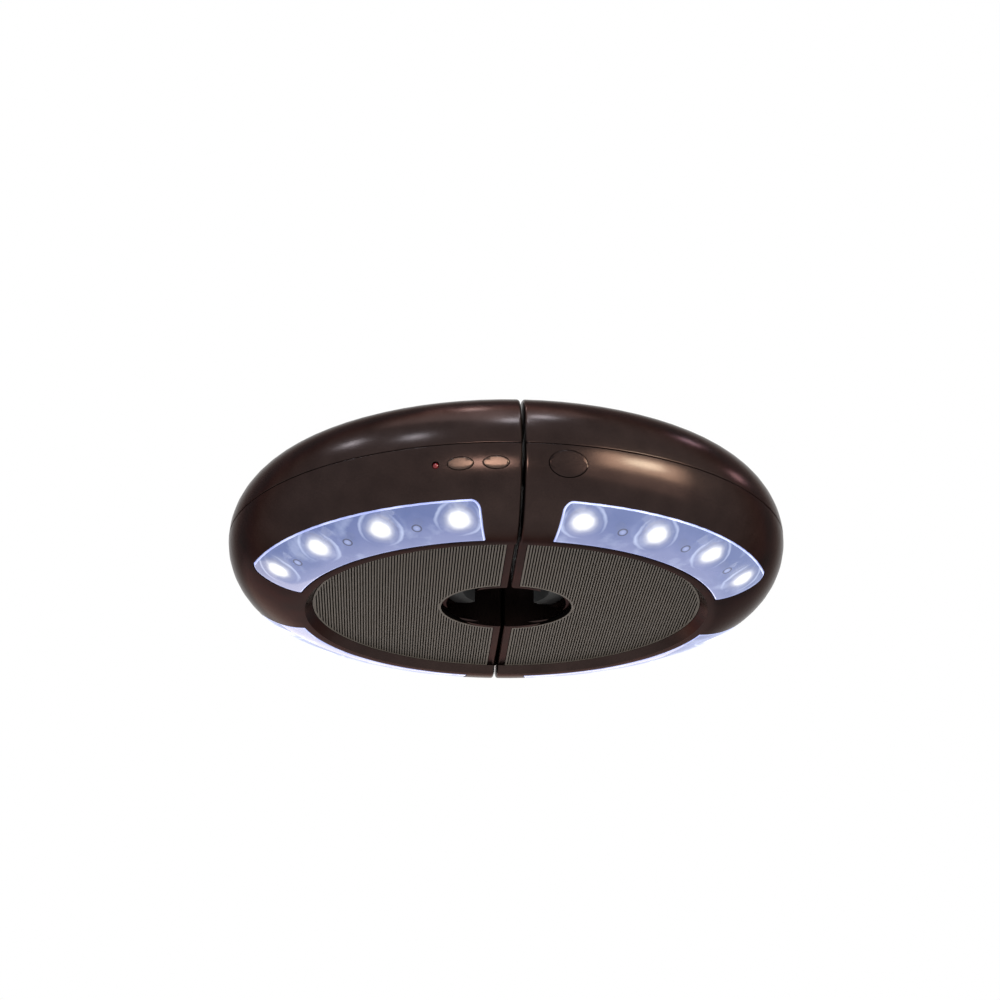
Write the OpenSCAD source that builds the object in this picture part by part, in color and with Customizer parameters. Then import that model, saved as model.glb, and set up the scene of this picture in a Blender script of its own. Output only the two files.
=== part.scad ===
// Ring-shaped light that clamps round the pole of a patio umbrella.
// Two half rings are hinged at the rear and latched at the front. Each half is a lower shell with a top
// cover, two clear lens strips with reflectors and diodes behind them, a ribbed base plate, cells, and a
// sprung jaw.
// Millimetres. The pole runs along Z, the origin is on its axis at the underside rim, the front faces -Y.

/* [Overall size] */
// Diameter at the widest line
lamp_d = 246; // [234:1:270]
// Height from the underside rim to the top
lamp_h = 63; // [60:0.5:68]
// Diameter of the bore that the pole passes through
bore_d = 53; // [52:0.5:56]
// Gap between the closed halves
seam_gap = 1.2; // [0.8:0.1:1.6]
// Thickness of the moulded shells
wall = 2.4; // [2:0.1:2.8]

/* [Outline] */
// Extra height of the underside curve below the round belly
lower_flare = 1; // [0.7:0.1:1.6]
// Extra height of the top curve above the round belly
upper_flare = 4; // [3:0.1:5]
// How far the underside curve reaches in past the belly
lower_sweep = 4; // [3:0.5:5]
// How far the top curve reaches in past the belly
upper_sweep = 15; // [11:1:19]
// Rounding where the top runs into the bore
bore_round = 8; // [5:0.5:10]
// Height of the line between the lower shell and the top cover, on the outside
parting_z = 30.4; // [30.2:0.2:31.4]
// Height at which the cover rests on the wall of the shell, inside its skirt
joint_z = 37; // [36.5:0.25:39]
// Height of the lip that locates the cover on the shell
lip_h = 2; // [1.2:0.1:2.6]

/* [Underside] */
// Width of the rim from the widest line in to the recess
rim_in = 34.4; // [34:0.2:36]
// Width of the sloped ring between the rim and the base plate
slope_w = 3.1; // [2.4:0.1:3.6]
// Depth of the recess that the base plate lies in
recess_depth = 3.3; // [2.8:0.1:3.8]
// Thickness of the base plate with its ribs
plate_t = 2.2; // [2:0.1:2.6]
// Distance between the ribs of the base plate
rib_pitch = 1.2; // [1:0.1:2]
// Width of a rib
rib_w = 0.66; // [0.5:0.02:0.8]
// Height of a rib
rib_h = 0.6; // [0.3:0.05:0.8]
// Width of the smooth edge of the base plate
plate_edge = 0.9; // [0.6:0.1:1.5]
// Width of the shell border beside the seam
border_w = 3.4; // [3:0.1:4.2]
// Thickness of the shell floor above the base plate
floor_t = 2.7; // [2:0.1:3]
// Width of the collar round the bore
collar_w = 2.1; // [1.8:0.1:2.4]
// Clearance round the base plate
plate_fit = 0.3; // [0.2:0.05:0.5]
// Radius of the pegs that hold the base plate
peg_r = 2; // [1.6:0.1:2.4]

/* [Light strips] */
// Distance from the widest line in to the outer edge of a lens
strip_in = 8.5; // [8:0.1:9.5]
// Width of a lens, seen from below
strip_w = 22; // [20:0.2:22.6]
// Angle from the seam to the start of a lens
strip_start = 8.5; // [8:0.1:9.5]
// Angle that a lens covers
strip_sweep = 66.5; // [64:0.5:68]
// Rounding of the outer corners of a lens
lens_corner = 3.5; // [2:0.25:5]
// Width of the hidden flange round a lens
lens_flange = 1.2; // [0.8:0.1:1.5]
// Thickness of the hidden flange
lens_flange_t = 1.2; // [0.8:0.1:1.5]
// Clearance round a lens
lens_fit = 0.25; // [0.15:0.05:0.35]
// Diodes in each strip
led_count = 4; // [3:1:4]
// Angle between diodes
led_pitch = 18; // [17:0.25:18.5]
// Angle from the start of a lens to its first diode
led_start = 5; // [4.8:0.1:6]
// Distance from the widest line in to the diodes
led_in = 16; // [15.5:0.1:16.5]
// Diameter of the mouth of a reflector cup
cup_d = 16.4; // [14:0.2:16.8]
// Diameter of the back of a reflector cup
cup_back_d = 7; // [6:0.2:8]
// Depth of a reflector cup
cup_depth = 8; // [7:0.1:8.4]
// Wall of the reflector
reflector_t = 1; // [0.8:0.1:1.2]
// Diameter of a diode
led_d = 5; // [4:0.1:5.4]
// Thickness of the circuit boards
board_t = 1.6; // [1.2:0.1:1.8]
// Side of a diode board
led_board = 14; // [12:0.5:14.5]
// Radius of the screw posts on the lens
lens_post_r = 2; // [1.7:0.1:2.3]

/* [Buttons] */
// Height of the power button, the brightness button and the lamp
panel_z = 22.3; // [21.8:0.1:23]
// Angle from the seam to the brightness button
bright_az = 5.2; // [5.1:0.1:5.5]
// Angle from the seam to the power button
power_az = 11.8; // [11.4:0.1:12]
// Angle from the seam to the indicator lamp
lamp_az = 16.5; // [16.3:0.1:17]
// Length of the small buttons
small_button_l = 10.4; // [9:0.1:11]
// Height of the small buttons
small_button_h = 4.8; // [4:0.1:6]
// Travel of the small buttons
small_travel = 1; // [0.6:0.1:1.2]
// Diameter of the indicator lamp
lamp_tip_d = 2.6; // [2:0.1:3.2]
// Angle from the seam to the unlock button
unlock_az = 8.4; // [8:0.1:9]
// Height of the unlock button
unlock_z = 22.7; // [22.4:0.1:23.4]
// Length of the unlock button
unlock_l = 15.6; // [14:0.1:16]
// Height of the unlock button's face
unlock_h = 10.3; // [9:0.1:11]
// Travel of the unlock button
unlock_travel = 2; // [1.5:0.1:2.4]
// Clearance round the buttons
button_fit = 0.25; // [0.2:0.05:0.35]
// How far the buttons stand out of the shell
button_proud = 0.4; // [0.2:0.1:0.5]
// Width of the hidden edge that keeps a button in the shell
button_edge = 1.1; // [0.8:0.1:1.3]

/* [Hinge] */
// Radius of the hinge barrel
barrel_r = 6.5; // [6:0.1:7]
// Radius of the hinge pin
pin_r = 2; // [1.6:0.1:2.4]
// Running clearance round the hinge pin
pin_fit = 0.05; // [0.02:0.01:0.09]
// Clearance round the hinge barrel
barrel_fit = 0.5; // [0.4:0.05:0.6]
// Height of the lowest knuckle above the rim
barrel_z = 13; // [12:0.25:14]
// Height of the whole barrel
barrel_h = 30; // [29:0.5:32]
// Gap between knuckles
knuckle_gap = 0.3; // [0.3:0.05:0.5]
// Half angle of the relief behind the hinge
relief_angle = 36; // [34:1:40]

/* [Jaws] */
// Diameter of the pole that the jaws hold at rest
pole_d = 38.1; // [36:0.1:40]
// Thickness of the rubber pad
pad_t = 3.2; // [2.6:0.1:3.6]
// Height of the jaws
jaw_h = 22; // [20:0.25:22.5]
// Width of the jaw carrier
jaw_w = 32; // [31:0.2:32.6]
// Distance from the pole axis to the back of the carrier
jaw_back = 50; // [48:0.5:52]
// Travel of a jaw
jaw_travel = 8.4; // [7:0.1:9]
// Sliding clearance of a jaw
jaw_fit = 0.4; // [0.35:0.05:0.5]
// Wall of the jaw guide
guide_t = 2.2; // [1.8:0.1:2.4]
// Outer diameter of a jaw spring
spring_d = 7.2; // [6:0.1:8]
// Wire of a jaw spring
spring_wire = 0.9; // [0.7:0.05:1]
// Turns of a jaw spring
spring_turns = 7; // [5:1:8]
// Distance between the two springs of a jaw
spring_gap = 16; // [14:0.5:17]

/* [Latch] */
// Distance from the widest line in to the latch arm
latch_in = 23; // [22:0.5:24]
// Thickness of the latch arm
latch_t = 2; // [1.6:0.1:2.2]
// Height of the latch arm
latch_h = 6; // [5:0.25:6.5]
// Height of the underside of the latch arm
latch_z = 22; // [21.6:0.1:22.5]
// Length of the arm from the seam to its root
latch_l = 46; // [42:0.5:48]
// Depth of the hook
hook_depth = 3; // [2:0.1:3.4]
// Thickness of the strike plate
strike_t = 1.2; // [1:0.1:1.5]

/* [Power] */
// Diameter of a cell
cell_d = 14.4; // [14:0.1:14.6]
// Length of a cell
cell_l = 50.5; // [48:0.1:50.6]
// Cells in each tray
cell_count = 2; // [1:1:2]
// Thickness of the battery tray
tray_t = 1.3; // [1:0.1:1.4]

/* [Screws] */
// Radius of the screw bosses
boss_r = 4.4; // [4:0.1:4.6]
// Radius of a cover screw
screw_r = 1.45; // [1.2:0.05:1.6]
// Length of a cover screw
screw_l = 20; // [16:0.5:22]

/* [Hidden] */
$fn = 96;
BIG = 400;
lamp_r = lamp_d / 2;
bore_r = bore_d / 2;
seam_x = seam_gap / 2;
lip_t = wall / 2;
lip_fit = 0.2;
flat_seat = 0.3;
skirt_gap = 0.3;
sink = 0.1;

// Outline of the ring, in the plane of radius and height: a round belly with a flatter arc below and above
// it. Each arc ends a crease's depth inside the belly, so that they always meet.
crease = 0.02;
belly_r = (lamp_h - lower_flare - upper_flare) / 2;
belly_c = [lamp_r - belly_r, belly_r + lower_flare];
lower_r = arc_radius(lower_sweep, lower_flare);
lower_c = [belly_c.x - lower_sweep, lower_r];
upper_r = arc_radius(upper_sweep, upper_flare);
upper_c = [belly_c.x - upper_sweep, lamp_h - upper_r];
lower_angle = atan2(belly_c.y - lower_c.y, belly_c.x - lower_c.x);
bore_c = [bore_r + bore_round, lamp_h - bore_round];

// Underside levels
rim_r = lamp_r - rim_in;
recess_r = rim_r - slope_w;
plate_z = recess_depth;
plate_top = plate_z + plate_t;
floor_z = plate_top + floor_t;
collar_r = bore_r + collar_w;
ring_wall = 2.2;
ring_r = rim_r + ring_wall;
border_x = seam_x + border_w;

// Light strips
strip_out_r = lamp_r - strip_in;
strip_in_r = strip_out_r - strip_w;
led_r = lamp_r - led_in;
led_angles = [for (i = [0 : led_count - 1]) strip_start + led_start + i * led_pitch];
post_share = 0.54;
post_in = 2;
post_angles = [for (i = [0 : led_count - 2]) strip_start + led_start + (i + post_share) * led_pitch];
post_r = led_r - post_in;
lens_top = 24;
cup_gap = 2.3;
cup_front = wall + cup_gap;
cup_back = cup_front + cup_depth;
diode_base_h = 1.2;
diode_h = 3;
lens_screw_r = 0.8;
lens_screw_fit = 0.07;
lens_screw_l = 3.2;
lens_screw_head_r = 2.2;
lens_screw_head_h = 1.4;

// Buttons and the board behind them
panel_az = (bright_az + lamp_az) / 2;
panel_in = 14.7;
panel_r = lamp_r - panel_in;
panel_below = 4.8;
panel_h = 12;
panel_margin = 3.4;
panel_w = 2 * (panel_offset(lamp_az) + panel_margin);
panel_post_r = 1.6;
panel_post_drop = 1.3;
panel_post_side = 2.5;
panel_post_z = panel_z - panel_below + panel_h - panel_post_drop;
switch_h = 3.5;
switch_side = 6;
switch_top = panel_r + board_t + switch_h;
stem_r = 1.1;
stem_in = 0.5;
stem_gap = 0.5;
edge_t = 1.3;
unlock_stem_r = 2;
lamp_fit = 0.15;
lamp_foot_h = 2.5;
lamp_foot_w = 0.5;
lamp_set = 2.2;

// Hinge
hinge_y = lamp_r - barrel_r;
knuckle_h = (barrel_h - 2 * knuckle_gap) / 3;

// Jaws
pole_r = pole_d / 2;
carrier_r = pole_r + pad_t;
pad_half_angle = asin(jaw_w / (2 * carrier_r));
jaw_z = floor_z + guide_t + jaw_fit;
guide_w = jaw_w + 2 * jaw_fit;
guide_gap = 0.8;
guide_stop = 1.4;
guide_front = collar_r + guide_gap;
guide_back = jaw_back + jaw_travel + guide_stop;
spring_hole = 12;
spring_hole_fit = 0.5;
spigot_l = 5;
spigot_r = spring_d / 2 - spring_wire - spring_hole_fit;
spring_seat = jaw_back - spring_hole;
spring_start = spring_seat + flat_seat;
spring_end = guide_back - flat_seat;

// Cells and their trays
cell_gap = 0.6;
cell_end_gap = 0.2;
cell_lift = 0.1;
cell_tip_r = 2.75;
cell_tip_h = 1.5;
cell_pitch = cell_d + cell_gap;
tray_x = seam_x + wall + flat_seat;
tray_y = bore_r + wall + flat_seat;
tray_margin = 0.6;
tray_l = cell_l + 2 * (tray_t + cell_end_gap);
tray_w = cell_count * cell_pitch + 2 * tray_margin;
tray_h = tray_t + cell_d * 0.6;
tray_rail_in = 6;
tray_rail_t = 0.5;
tray_rail_h = 2;
cell_x = tray_x + tray_t + cell_end_gap;
cell_z = floor_z + tray_t + cell_d / 2 + cell_lift;

// Cover screws and the pegs of the base plate, beside the trays and the jaw guide
boss_gap = 1;
end_screw_in = 7.4;
end_screw = [tray_x + boss_r + boss_gap, ring_r - boss_r - end_screw_in];
side_screw = [tray_x + tray_l + boss_r + boss_gap, tray_y + boss_r + boss_gap];
screw_places = [for (side = [-1, 1], p = [end_screw, side_screw]) [p.x, side * p.y]];
screw_drop = 10;
screw_head_z = joint_z - screw_drop;
screw_head_h = 2;
screw_head_r = 2.7;
slot_l = 3.2;
slot_w = 0.6;
slot_h = 1;
peg_in = 8;
end_peg_in = 20;
end_peg = [border_x + peg_in, recess_r - end_peg_in];
side_peg = [recess_r - peg_in, peg_in];
peg_places = [for (side = [-1, 1], p = [end_peg, side_peg]) [p.x, side * p.y]];
peg_fit = 0.15;

// Latch
latch_y = lamp_r - latch_in;
latch_fit = 0.6;
latch_root = 8;
latch_taper = 2;
latch_swell = 1;
latch_tip = 5;
hook_land = 1.2;
strike_fit = 0.3;
strike_over = 4;
strike_z = latch_z - strike_over;
strike_h = latch_h + 2 * strike_over;
strike_w = 14.5;
strike_in = 8;
strike_y = latch_y + strike_in;

shell_colour = [0.25, 0.19, 0.17];
rib_colour = [0.33, 0.29, 0.26];
lens_colour = [0.75, 0.79, 0.95, 0.6];
metal_colour = [0.72, 0.73, 0.75];
board_colour = [0.16, 0.38, 0.24];
black_colour = [0.08, 0.08, 0.08];
white_colour = [0.93, 0.94, 0.97];

// ---------------------------------------------------------------- outline of the ring

// Radius of an arc that reaches in past the belly and stands out beyond it, to a hundredth
function arc_radius(sweep, flare) =
    let (inner = belly_r - crease)
    round(100 * (pow(sweep, 2) + pow(belly_r + flare, 2) - pow(inner, 2)) / (2 * (flare + crease))) / 100;

// A slice of a circle, cut by lines from its centre to the first and the last of some points beyond it
module pie(c, r, beyond) {
    intersection() {
        translate(c) circle(r);
        polygon([c, each beyond]);
    }
}

// Section of the ring, set in from its outside by the given distance
module section(inset) {
    lower_reach = 8;
    upper_reach = 2;
    lower_tip = belly_c + lower_reach * (belly_c - lower_c);
    upper_tip = belly_c + upper_reach * (belly_c - upper_c);
    translate(belly_c) circle(belly_r - inset);
    pie(lower_c, lower_r - inset, [[lower_c.x, -lamp_h], lower_tip]);
    pie(upper_c, upper_r - inset, [upper_tip, [upper_c.x, 2 * lamp_h]]);
    pie(bore_c, bore_round - inset, [[bore_c.x, 2 * lamp_h], [0, 2 * lamp_h], [0, bore_c.y]]);
    polygon([
        [bore_r + inset, inset],
        [lower_c.x, inset],
        belly_c + [belly_r / 2, 0],
        [upper_c.x, lamp_h - inset],
        [bore_c.x, lamp_h - inset],
        bore_c + [-1, 1],
        [bore_r + inset, bore_c.y]
    ]);
}

// The right half of the ring as a solid, cut off beside the seam
module half_ring(inset, x) {
    intersection() {
        rotate_extrude() section(inset);
        right_of(x);
    }
}

module right_of(x) translate([x, -BIG / 2, -BIG / 2]) cube([BIG, BIG, BIG]);

module between(z0, z1) translate([-BIG / 2, -BIG / 2, z0]) cube([BIG, BIG, z1 - z0]);

// Height and slope of the underside at a radius
function on_lower(r) = r < lower_c.x + lower_r * cos(lower_angle);
function surface_c(r) = on_lower(r) ? lower_c : belly_c;
function surface_r(r) = on_lower(r) ? lower_r : belly_r;
function surface_z(r) = surface_c(r).y - sqrt(pow(surface_r(r), 2) - pow(r - surface_c(r).x, 2));
function surface_tilt(r) = asin((r - surface_c(r).x) / surface_r(r));

// Places a child at an angle from the front seam, looking out along +X
module at_azimuth(az) rotate([0, 0, az - 90]) children();

// Places a child on the underside at a radius, with +Z pointing square into the ring
module at_surface(az, r) {
    at_azimuth(az) translate([r, 0, surface_z(r)]) rotate([0, -surface_tilt(r), 0]) children();
}

// Front and rear copies of what stands on one side of the jaw
module front_or_rear(rear) mirror([0, rear ? 1 : 0, 0]) children();

// ---------------------------------------------------------------- light strips

function polar(r, az) = [r * sin(az), -r * cos(az)];

function reversed(list) = [for (i = [len(list) - 1 : -1 : 0]) list[i]];

// What is cut off an outer corner of a lens to round it
module corner_cut(r, az, radius, turn) {
    steps = 6;
    slack = 0.03;
    side = az - turn * slack;
    angle = asin(radius / (r - radius));
    c = polar(r + slack - radius, side + turn * angle);
    polygon([
        polar(r - radius, az - 2 * turn),
        polar(r + radius, az - 2 * turn),
        polar(r + radius, az + turn * angle),
        for (i = [steps : -1 : 0])
        let (a = side + turn * (angle - 90 + 90 * i / steps))
        c + radius * [sin(a), -cos(a)]
    ]);
}

// Angle that a growth of the lens takes at each of its ends
function end_angle(grow) = grow * 180 / (PI * (strip_in_r + strip_out_r) / 2);

module corner_cuts(grow) {
    r = strip_out_r + grow;
    translate([0, 0, -1]) linear_extrude(lens_top + 2) {
        corner_cut(r, strip_start - end_angle(grow), lens_corner + grow, 1);
        corner_cut(r, strip_start + strip_sweep + end_angle(grow), lens_corner + grow, -1);
    }
}

// Child profile swept along a lens that is grown by the given distance
module along_lens(grow) {
    at_azimuth(strip_start - end_angle(grow)) {
        rotate_extrude(angle = strip_sweep + 2 * end_angle(grow)) children();
    }
}

// Opening of the shell for a lens
module lens_window(grow) {
    difference() {
        along_lens(grow) translate([strip_in_r - grow, -1]) square([strip_w + 2 * grow, lens_top + 1]);
        corner_cuts(grow);
    }
}

// Points of the underside at a depth, from one radius to another
function under_points(r0, r1, depth, steps = 10) = [
    for (i = [0 : steps])
    let (r = r0 + (r1 - r0) * i / steps, c = surface_c(r))
    c + (1 - depth / surface_r(r)) * ([r, surface_z(r)] - c)
];

// Layer of a lens between two depths
module lens_layer(grow, d0, d1) {
    r0 = strip_in_r - grow;
    r1 = strip_out_r + grow;
    beyond = 3;
    difference() {
        along_lens(grow) intersection() {
            polygon(concat(
                under_points(r0 - beyond, r1 + beyond, d0),
                reversed(under_points(r0 - beyond, r1 + beyond, d1))
            ));
            translate([r0, -1]) square([r1 - r0, lens_top]);
        }
        corner_cuts(grow);
    }
}

module lens(rear) {
    lens_seat = 0.1;
    color(lens_colour) front_or_rear(rear) difference() {
        union() {
            lens_layer(0, 0, wall + lens_flange_t);
            lens_layer(lens_flange, wall + lens_seat, wall + lens_flange_t - lens_seat);
            for (az = post_angles) at_surface(az, post_r) {
                translate([0, 0, wall]) cylinder(h = cup_gap - flat_seat, r = lens_post_r);
            }
        }
        for (az = post_angles) at_surface(az, post_r) {
            translate([0, 0, wall + lens_screw_r / 2]) cylinder(h = cup_front, r = lens_screw_r);
        }
    }
}

// Outline of a bowl, from its mouth to its back
function bowl_points(r0, r1, depth, steps = 6) =
    [for (i = [0 : steps]) [r1 + (r0 - r1) * sqrt(1 - i / steps), depth * i / steps]];

// Cups joined by a curved plate, with a foot that stands on the shell's ring
module reflector(rear) {
    margin = 0.4;
    mouth = cup_d / 2;
    back = cup_back_d / 2;
    half_w = mouth + reflector_t;
    lead = 0.3;
    foot_t = 1.6;
    foot_x = rim_r - 0.6;
    bowl_start = reflector_t * 0.8;
    plate_r0 = strip_in_r + 4.5;
    plate_r1 = strip_out_r + 1;
    color(white_colour) front_or_rear(rear) difference() {
        union() {
            at_azimuth(strip_start + margin) rotate_extrude(angle = strip_sweep - 2 * margin) polygon([
                [foot_x, floor_z],
                [ring_r + flat_seat, floor_z],
                each under_points(plate_r0, plate_r1, cup_front, 6),
                each reversed(under_points(plate_r0 + foot_t, plate_r1, cup_front + reflector_t, 6)),
                [ring_r + flat_seat + reflector_t, floor_z + foot_t],
                [foot_x, floor_z + foot_t]
            ]);
            for (az = led_angles) at_surface(az, led_r) translate([0, 0, cup_front + bowl_start]) {
                rotate_extrude() polygon([
                    [0, 0],
                    each bowl_points(half_w - reflector_t / 3, back + reflector_t, cup_depth - bowl_start),
                    [0, cup_depth - bowl_start]
                ]);
            }
        }
        for (az = led_angles) at_surface(az, led_r) translate([0, 0, cup_front - lead]) {
            rotate_extrude() polygon([
                [0, -1],
                [mouth, -1],
                each bowl_points(mouth, back, cup_depth + lead),
                [back, cup_depth + lead + 1],
                [0, cup_depth + lead + 1]
            ]);
        }
        for (az = post_angles) at_surface(az, post_r) cylinder(h = cup_back, r = screw_r);
    }
}

// Flat boards behind the cups
module boards(rear) {
    color(board_colour) front_or_rear(rear) for (az = led_angles) at_surface(az, led_r) {
        translate([-led_board / 2, -led_board / 2, cup_back]) cube([led_board, led_board, board_t]);
    }
}

// Diodes on the boards, each a base with a domed lens
module leds(rear) {
    color(white_colour) front_or_rear(rear) for (az = led_angles) at_surface(az, led_r) {
        translate([0, 0, cup_back - diode_base_h]) cylinder(h = diode_base_h, r = led_d / 2 + 0.4);
        translate([0, 0, cup_back - diode_h]) cylinder(h = diode_h - sink, r = led_d / 2);
        translate([0, 0, cup_back - diode_h]) sphere(led_d / 2);
    }
}

module lens_screws() {
    screw_head_d = cup_front + reflector_t + flat_seat + sink;
    color(metal_colour) for (rear = [false, true]) front_or_rear(rear) {
        for (az = post_angles) at_surface(az, post_r) {
            translate([0, 0, screw_head_d - lens_screw_l + sink]) {
                cylinder(h = lens_screw_l, r = lens_screw_r - lens_screw_fit);
            }
            translate([0, 0, screw_head_d]) cylinder(h = lens_screw_head_h, r = lens_screw_head_r);
        }
    }
}

// ---------------------------------------------------------------- shells

// Section of what lies outside a set-in line of the belly, from a gap above the parting line past the joint
module rebate_section(depth, gap) {
    difference() {
        translate([belly_c.x, parting_z + gap]) square([belly_r + 1, joint_z + 1 - parting_z - gap]);
        section(depth);
    }
}

// The rebate of the lower shell, which takes the cover's skirt with a clearance all round
module shell_rebate_section() rebate_section(lip_t + lip_fit, -skirt_gap / 2);

// Skirt of the top cover, which laps over the wall of the lower shell down to the parting line
module skirt() {
    intersection() {
        rotate_extrude() intersection() {
            section(0);
            rebate_section(lip_t, skirt_gap / 2);
        }
        right_of(seam_x);
    }
}

// Section of what the lower shell is cut from: open below the base plate, with a sloped ring at the rim and
// the rebate for the cover's skirt
module lower_blank_section() {
    difference() {
        section(0);
        translate([0, joint_z]) square([BIG, BIG]);
        shell_rebate_section();
        polygon([
            [0, -1],
            [rim_r + slope_w / recess_depth, -1],
            [recess_r, plate_z],
            [0, plate_z]
        ]);
    }
}

module lower_hollow_section() {
    difference() {
        section(wall);
        square([ring_r, floor_z]);
    }
}

module ring_slab_section(r0, r1, z0, z1) translate([r0, z0]) square([r1 - r0, z1 - z0]);

module lip() {
    intersection() {
        difference() {
            half_ring(lip_t + lip_fit, seam_x + lip_t + lip_fit);
            half_ring(wall, seam_x + wall);
            hinge_axis() cylinder(h = BIG, r = barrel_r + barrel_fit + wall + flat_seat);
        }
        between(joint_z - 1, joint_z + lip_h);
    }
}

module hinge_axis() translate([0, hinge_y, 0]) children();

// Pillar that walls off the hinge pocket inside a half
module hinge_pillar(z0, z1) {
    intersection() {
        half_ring(0, seam_x);
        hinge_axis() cylinder(h = BIG, r = barrel_r + barrel_fit + wall);
        between(z0, z1);
    }
}

// Pocket round the hinge barrel, and the relief behind it that lets the halves turn
module hinge_pocket() {
    reach = 3 * barrel_r;
    hinge_axis() {
        translate([0, 0, -1]) cylinder(h = lamp_h + 2, r = barrel_r + barrel_fit);
        translate([0, 0, -1]) linear_extrude(lamp_h + 2) {
            polygon([[0, 0], [reach * tan(relief_angle), reach], [-reach * tan(relief_angle), reach]]);
        }
    }
}

// A knuckle of the hinge with the web that carries it, drilled for the pin
module knuckle(z0) {
    web_w = barrel_r * 0.7;
    web_h = min(knuckle_h, joint_z - z0);
    hinge_axis() translate([0, 0, z0]) difference() {
        union() {
            cylinder(h = knuckle_h, r = barrel_r);
            translate([0, -web_w, 0]) cube([barrel_r + barrel_fit + 1, web_w, web_h]);
        }
        translate([0, 0, -1]) cylinder(h = knuckle_h + 2, r = pin_r + pin_fit);
    }
}

function knuckle_z(i) = barrel_z + i * (knuckle_h + knuckle_gap);

module jaw_window() {
    translate([bore_r / 3, -guide_w / 2, floor_z + guide_t]) {
        cube([bore_r + wall, guide_w, jaw_h + 2 * jaw_fit]);
    }
}

module screw_bosses() {
    for (p = screw_places) translate([p.x, p.y, plate_top]) cylinder(h = joint_z - plate_top, r = boss_r);
}

module screw_holes() {
    for (p = screw_places) translate([p.x, p.y, plate_top - 1]) {
        cylinder(h = screw_head_z - plate_top + 1, r = screw_head_r + lip_fit);
        cylinder(h = BIG, r = screw_r + lip_fit);
    }
}

module peg_holes() {
    for (p = peg_places) translate([p.x, p.y, 0]) cylinder(h = floor_z + 1, r = peg_r + peg_fit);
}

// A lower shell without its buttons and hinge knuckles
module lower_shell_body() {
    difference() {
        union() {
            difference() {
                intersection() {
                    rotate_extrude() lower_blank_section();
                    right_of(seam_x);
                }
                intersection() {
                    rotate_extrude() lower_hollow_section();
                    right_of(seam_x + wall);
                }
                intersection() {
                    rotate_extrude() ring_slab_section(collar_r, recess_r, plate_z - 1, plate_top);
                    right_of(border_x);
                }
            }
            lip();
            screw_bosses();
            difference() {
                hinge_pillar(0, joint_z);
                rotate_extrude() shell_rebate_section();
            }
        }
        for (rear = [false, true]) front_or_rear(rear) lens_window(lens_fit);
        jaw_window();
        screw_holes();
        peg_holes();
        hinge_pocket();
    }
}

// Ellipse as a plan shape, its first axis along X
module ellipse(length, height) {
    polygon([for (i = [0 : 47]) [length / 2 * cos(7.5 * i), height / 2 * sin(7.5 * i)]]);
}

// A prism along the local X axis with an elliptical face
module ellipse_prism(length, height, x0, x1) {
    translate([x0, 0, 0]) rotate([90, 0, 90]) linear_extrude(x1 - x0) ellipse(length, height);
}

// Hole of the shell for a button
module button_hole(length, height) {
    ellipse_prism(length + 2 * button_fit, height + 2 * button_fit, panel_r, lamp_r + 1);
}

function panel_offset(az) = lamp_r * sin(az - panel_az);

module at_panel(az) at_azimuth(panel_az) translate([0, panel_offset(az), panel_z]) children();

module at_unlock() at_azimuth(unlock_az) translate([0, 0, unlock_z]) children();

module left_lower_shell() {
    color(shell_colour) mirror([1, 0, 0]) {
        difference() {
            union() {
                lower_shell_body();
                panel_posts();
            }
            for (az = [bright_az, power_az]) at_panel(az) {
                button_hole(small_button_l, small_button_h);
            }
            at_panel(lamp_az) rotate([0, 90, 0]) cylinder(h = lamp_r + 1, r = lamp_tip_d / 2 + lamp_fit);
            latch_window(0);
        }
        knuckle(knuckle_z(0));
        knuckle(knuckle_z(2));
    }
}

module right_lower_shell() {
    color(shell_colour) {
        difference() {
            union() {
                lower_shell_body();
                latch_mount();
            }
            at_unlock() button_hole(unlock_l, unlock_h);
            latch_window(hook_depth);
        }
        knuckle(knuckle_z(1));
    }
}

// Posts on the inside of the shell that hold the control board
module panel_posts() {
    intersection() {
        rotate_extrude() section(wall / 2);
        at_azimuth(panel_az) for (side = [-1, 1]) {
            translate([panel_r + board_t, side * (panel_w / 2 - panel_post_side), panel_post_z]) {
                rotate([0, 90, 0]) cylinder(h = panel_in, r = panel_post_r);
            }
        }
    }
}

module top_cover_body() {
    difference() {
        union() {
            difference() {
                intersection() {
                    difference() {
                        half_ring(0, seam_x);
                        half_ring(wall, seam_x + wall);
                    }
                    between(joint_z, lamp_h + 1);
                }
                intersection() {
                    half_ring(lip_t, seam_x + lip_t);
                    between(joint_z - 1, joint_z + lip_h + flat_seat);
                }
            }
            skirt();
            hinge_pillar(joint_z, lamp_h);
            for (p = screw_places) intersection() {
                translate([p.x, p.y, joint_z]) cylinder(h = lamp_h, r = boss_r - 2 * flat_seat);
                half_ring(wall / 2, seam_x);
            }
        }
        for (p = screw_places) translate([p.x, p.y, joint_z - 1]) {
            cylinder(h = screw_head_z + screw_l - joint_z + 2, r = screw_r + pin_fit);
        }
        hinge_pocket();
    }
}

module left_top_cover() color(shell_colour) mirror([1, 0, 0]) top_cover_body();

module right_top_cover() color(shell_colour) top_cover_body();

module cover_screws() {
    color(metal_colour) for (p = screw_places) translate([p.x, p.y, screw_head_z]) {
        difference() {
            union() {
                translate([0, 0, -screw_head_h]) cylinder(h = screw_head_h, r = screw_head_r);
                cylinder(h = screw_l, r = screw_r);
            }
            for (turn = [0, 90]) rotate(turn) translate([-slot_l / 2, -slot_w / 2, -screw_head_h - 1]) {
                cube([slot_l, slot_w, slot_h + 1]);
            }
        }
    }
}

// ---------------------------------------------------------------- base plate

// Plan of the base plate, drawn in from its edge
module plate_plan(inset) {
    intersection() {
        difference() {
            circle(recess_r - plate_fit - inset);
            circle(collar_r + plate_fit + inset);
        }
        translate([border_x + plate_fit + inset, -BIG / 2]) square([BIG, BIG]);
    }
}

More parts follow.
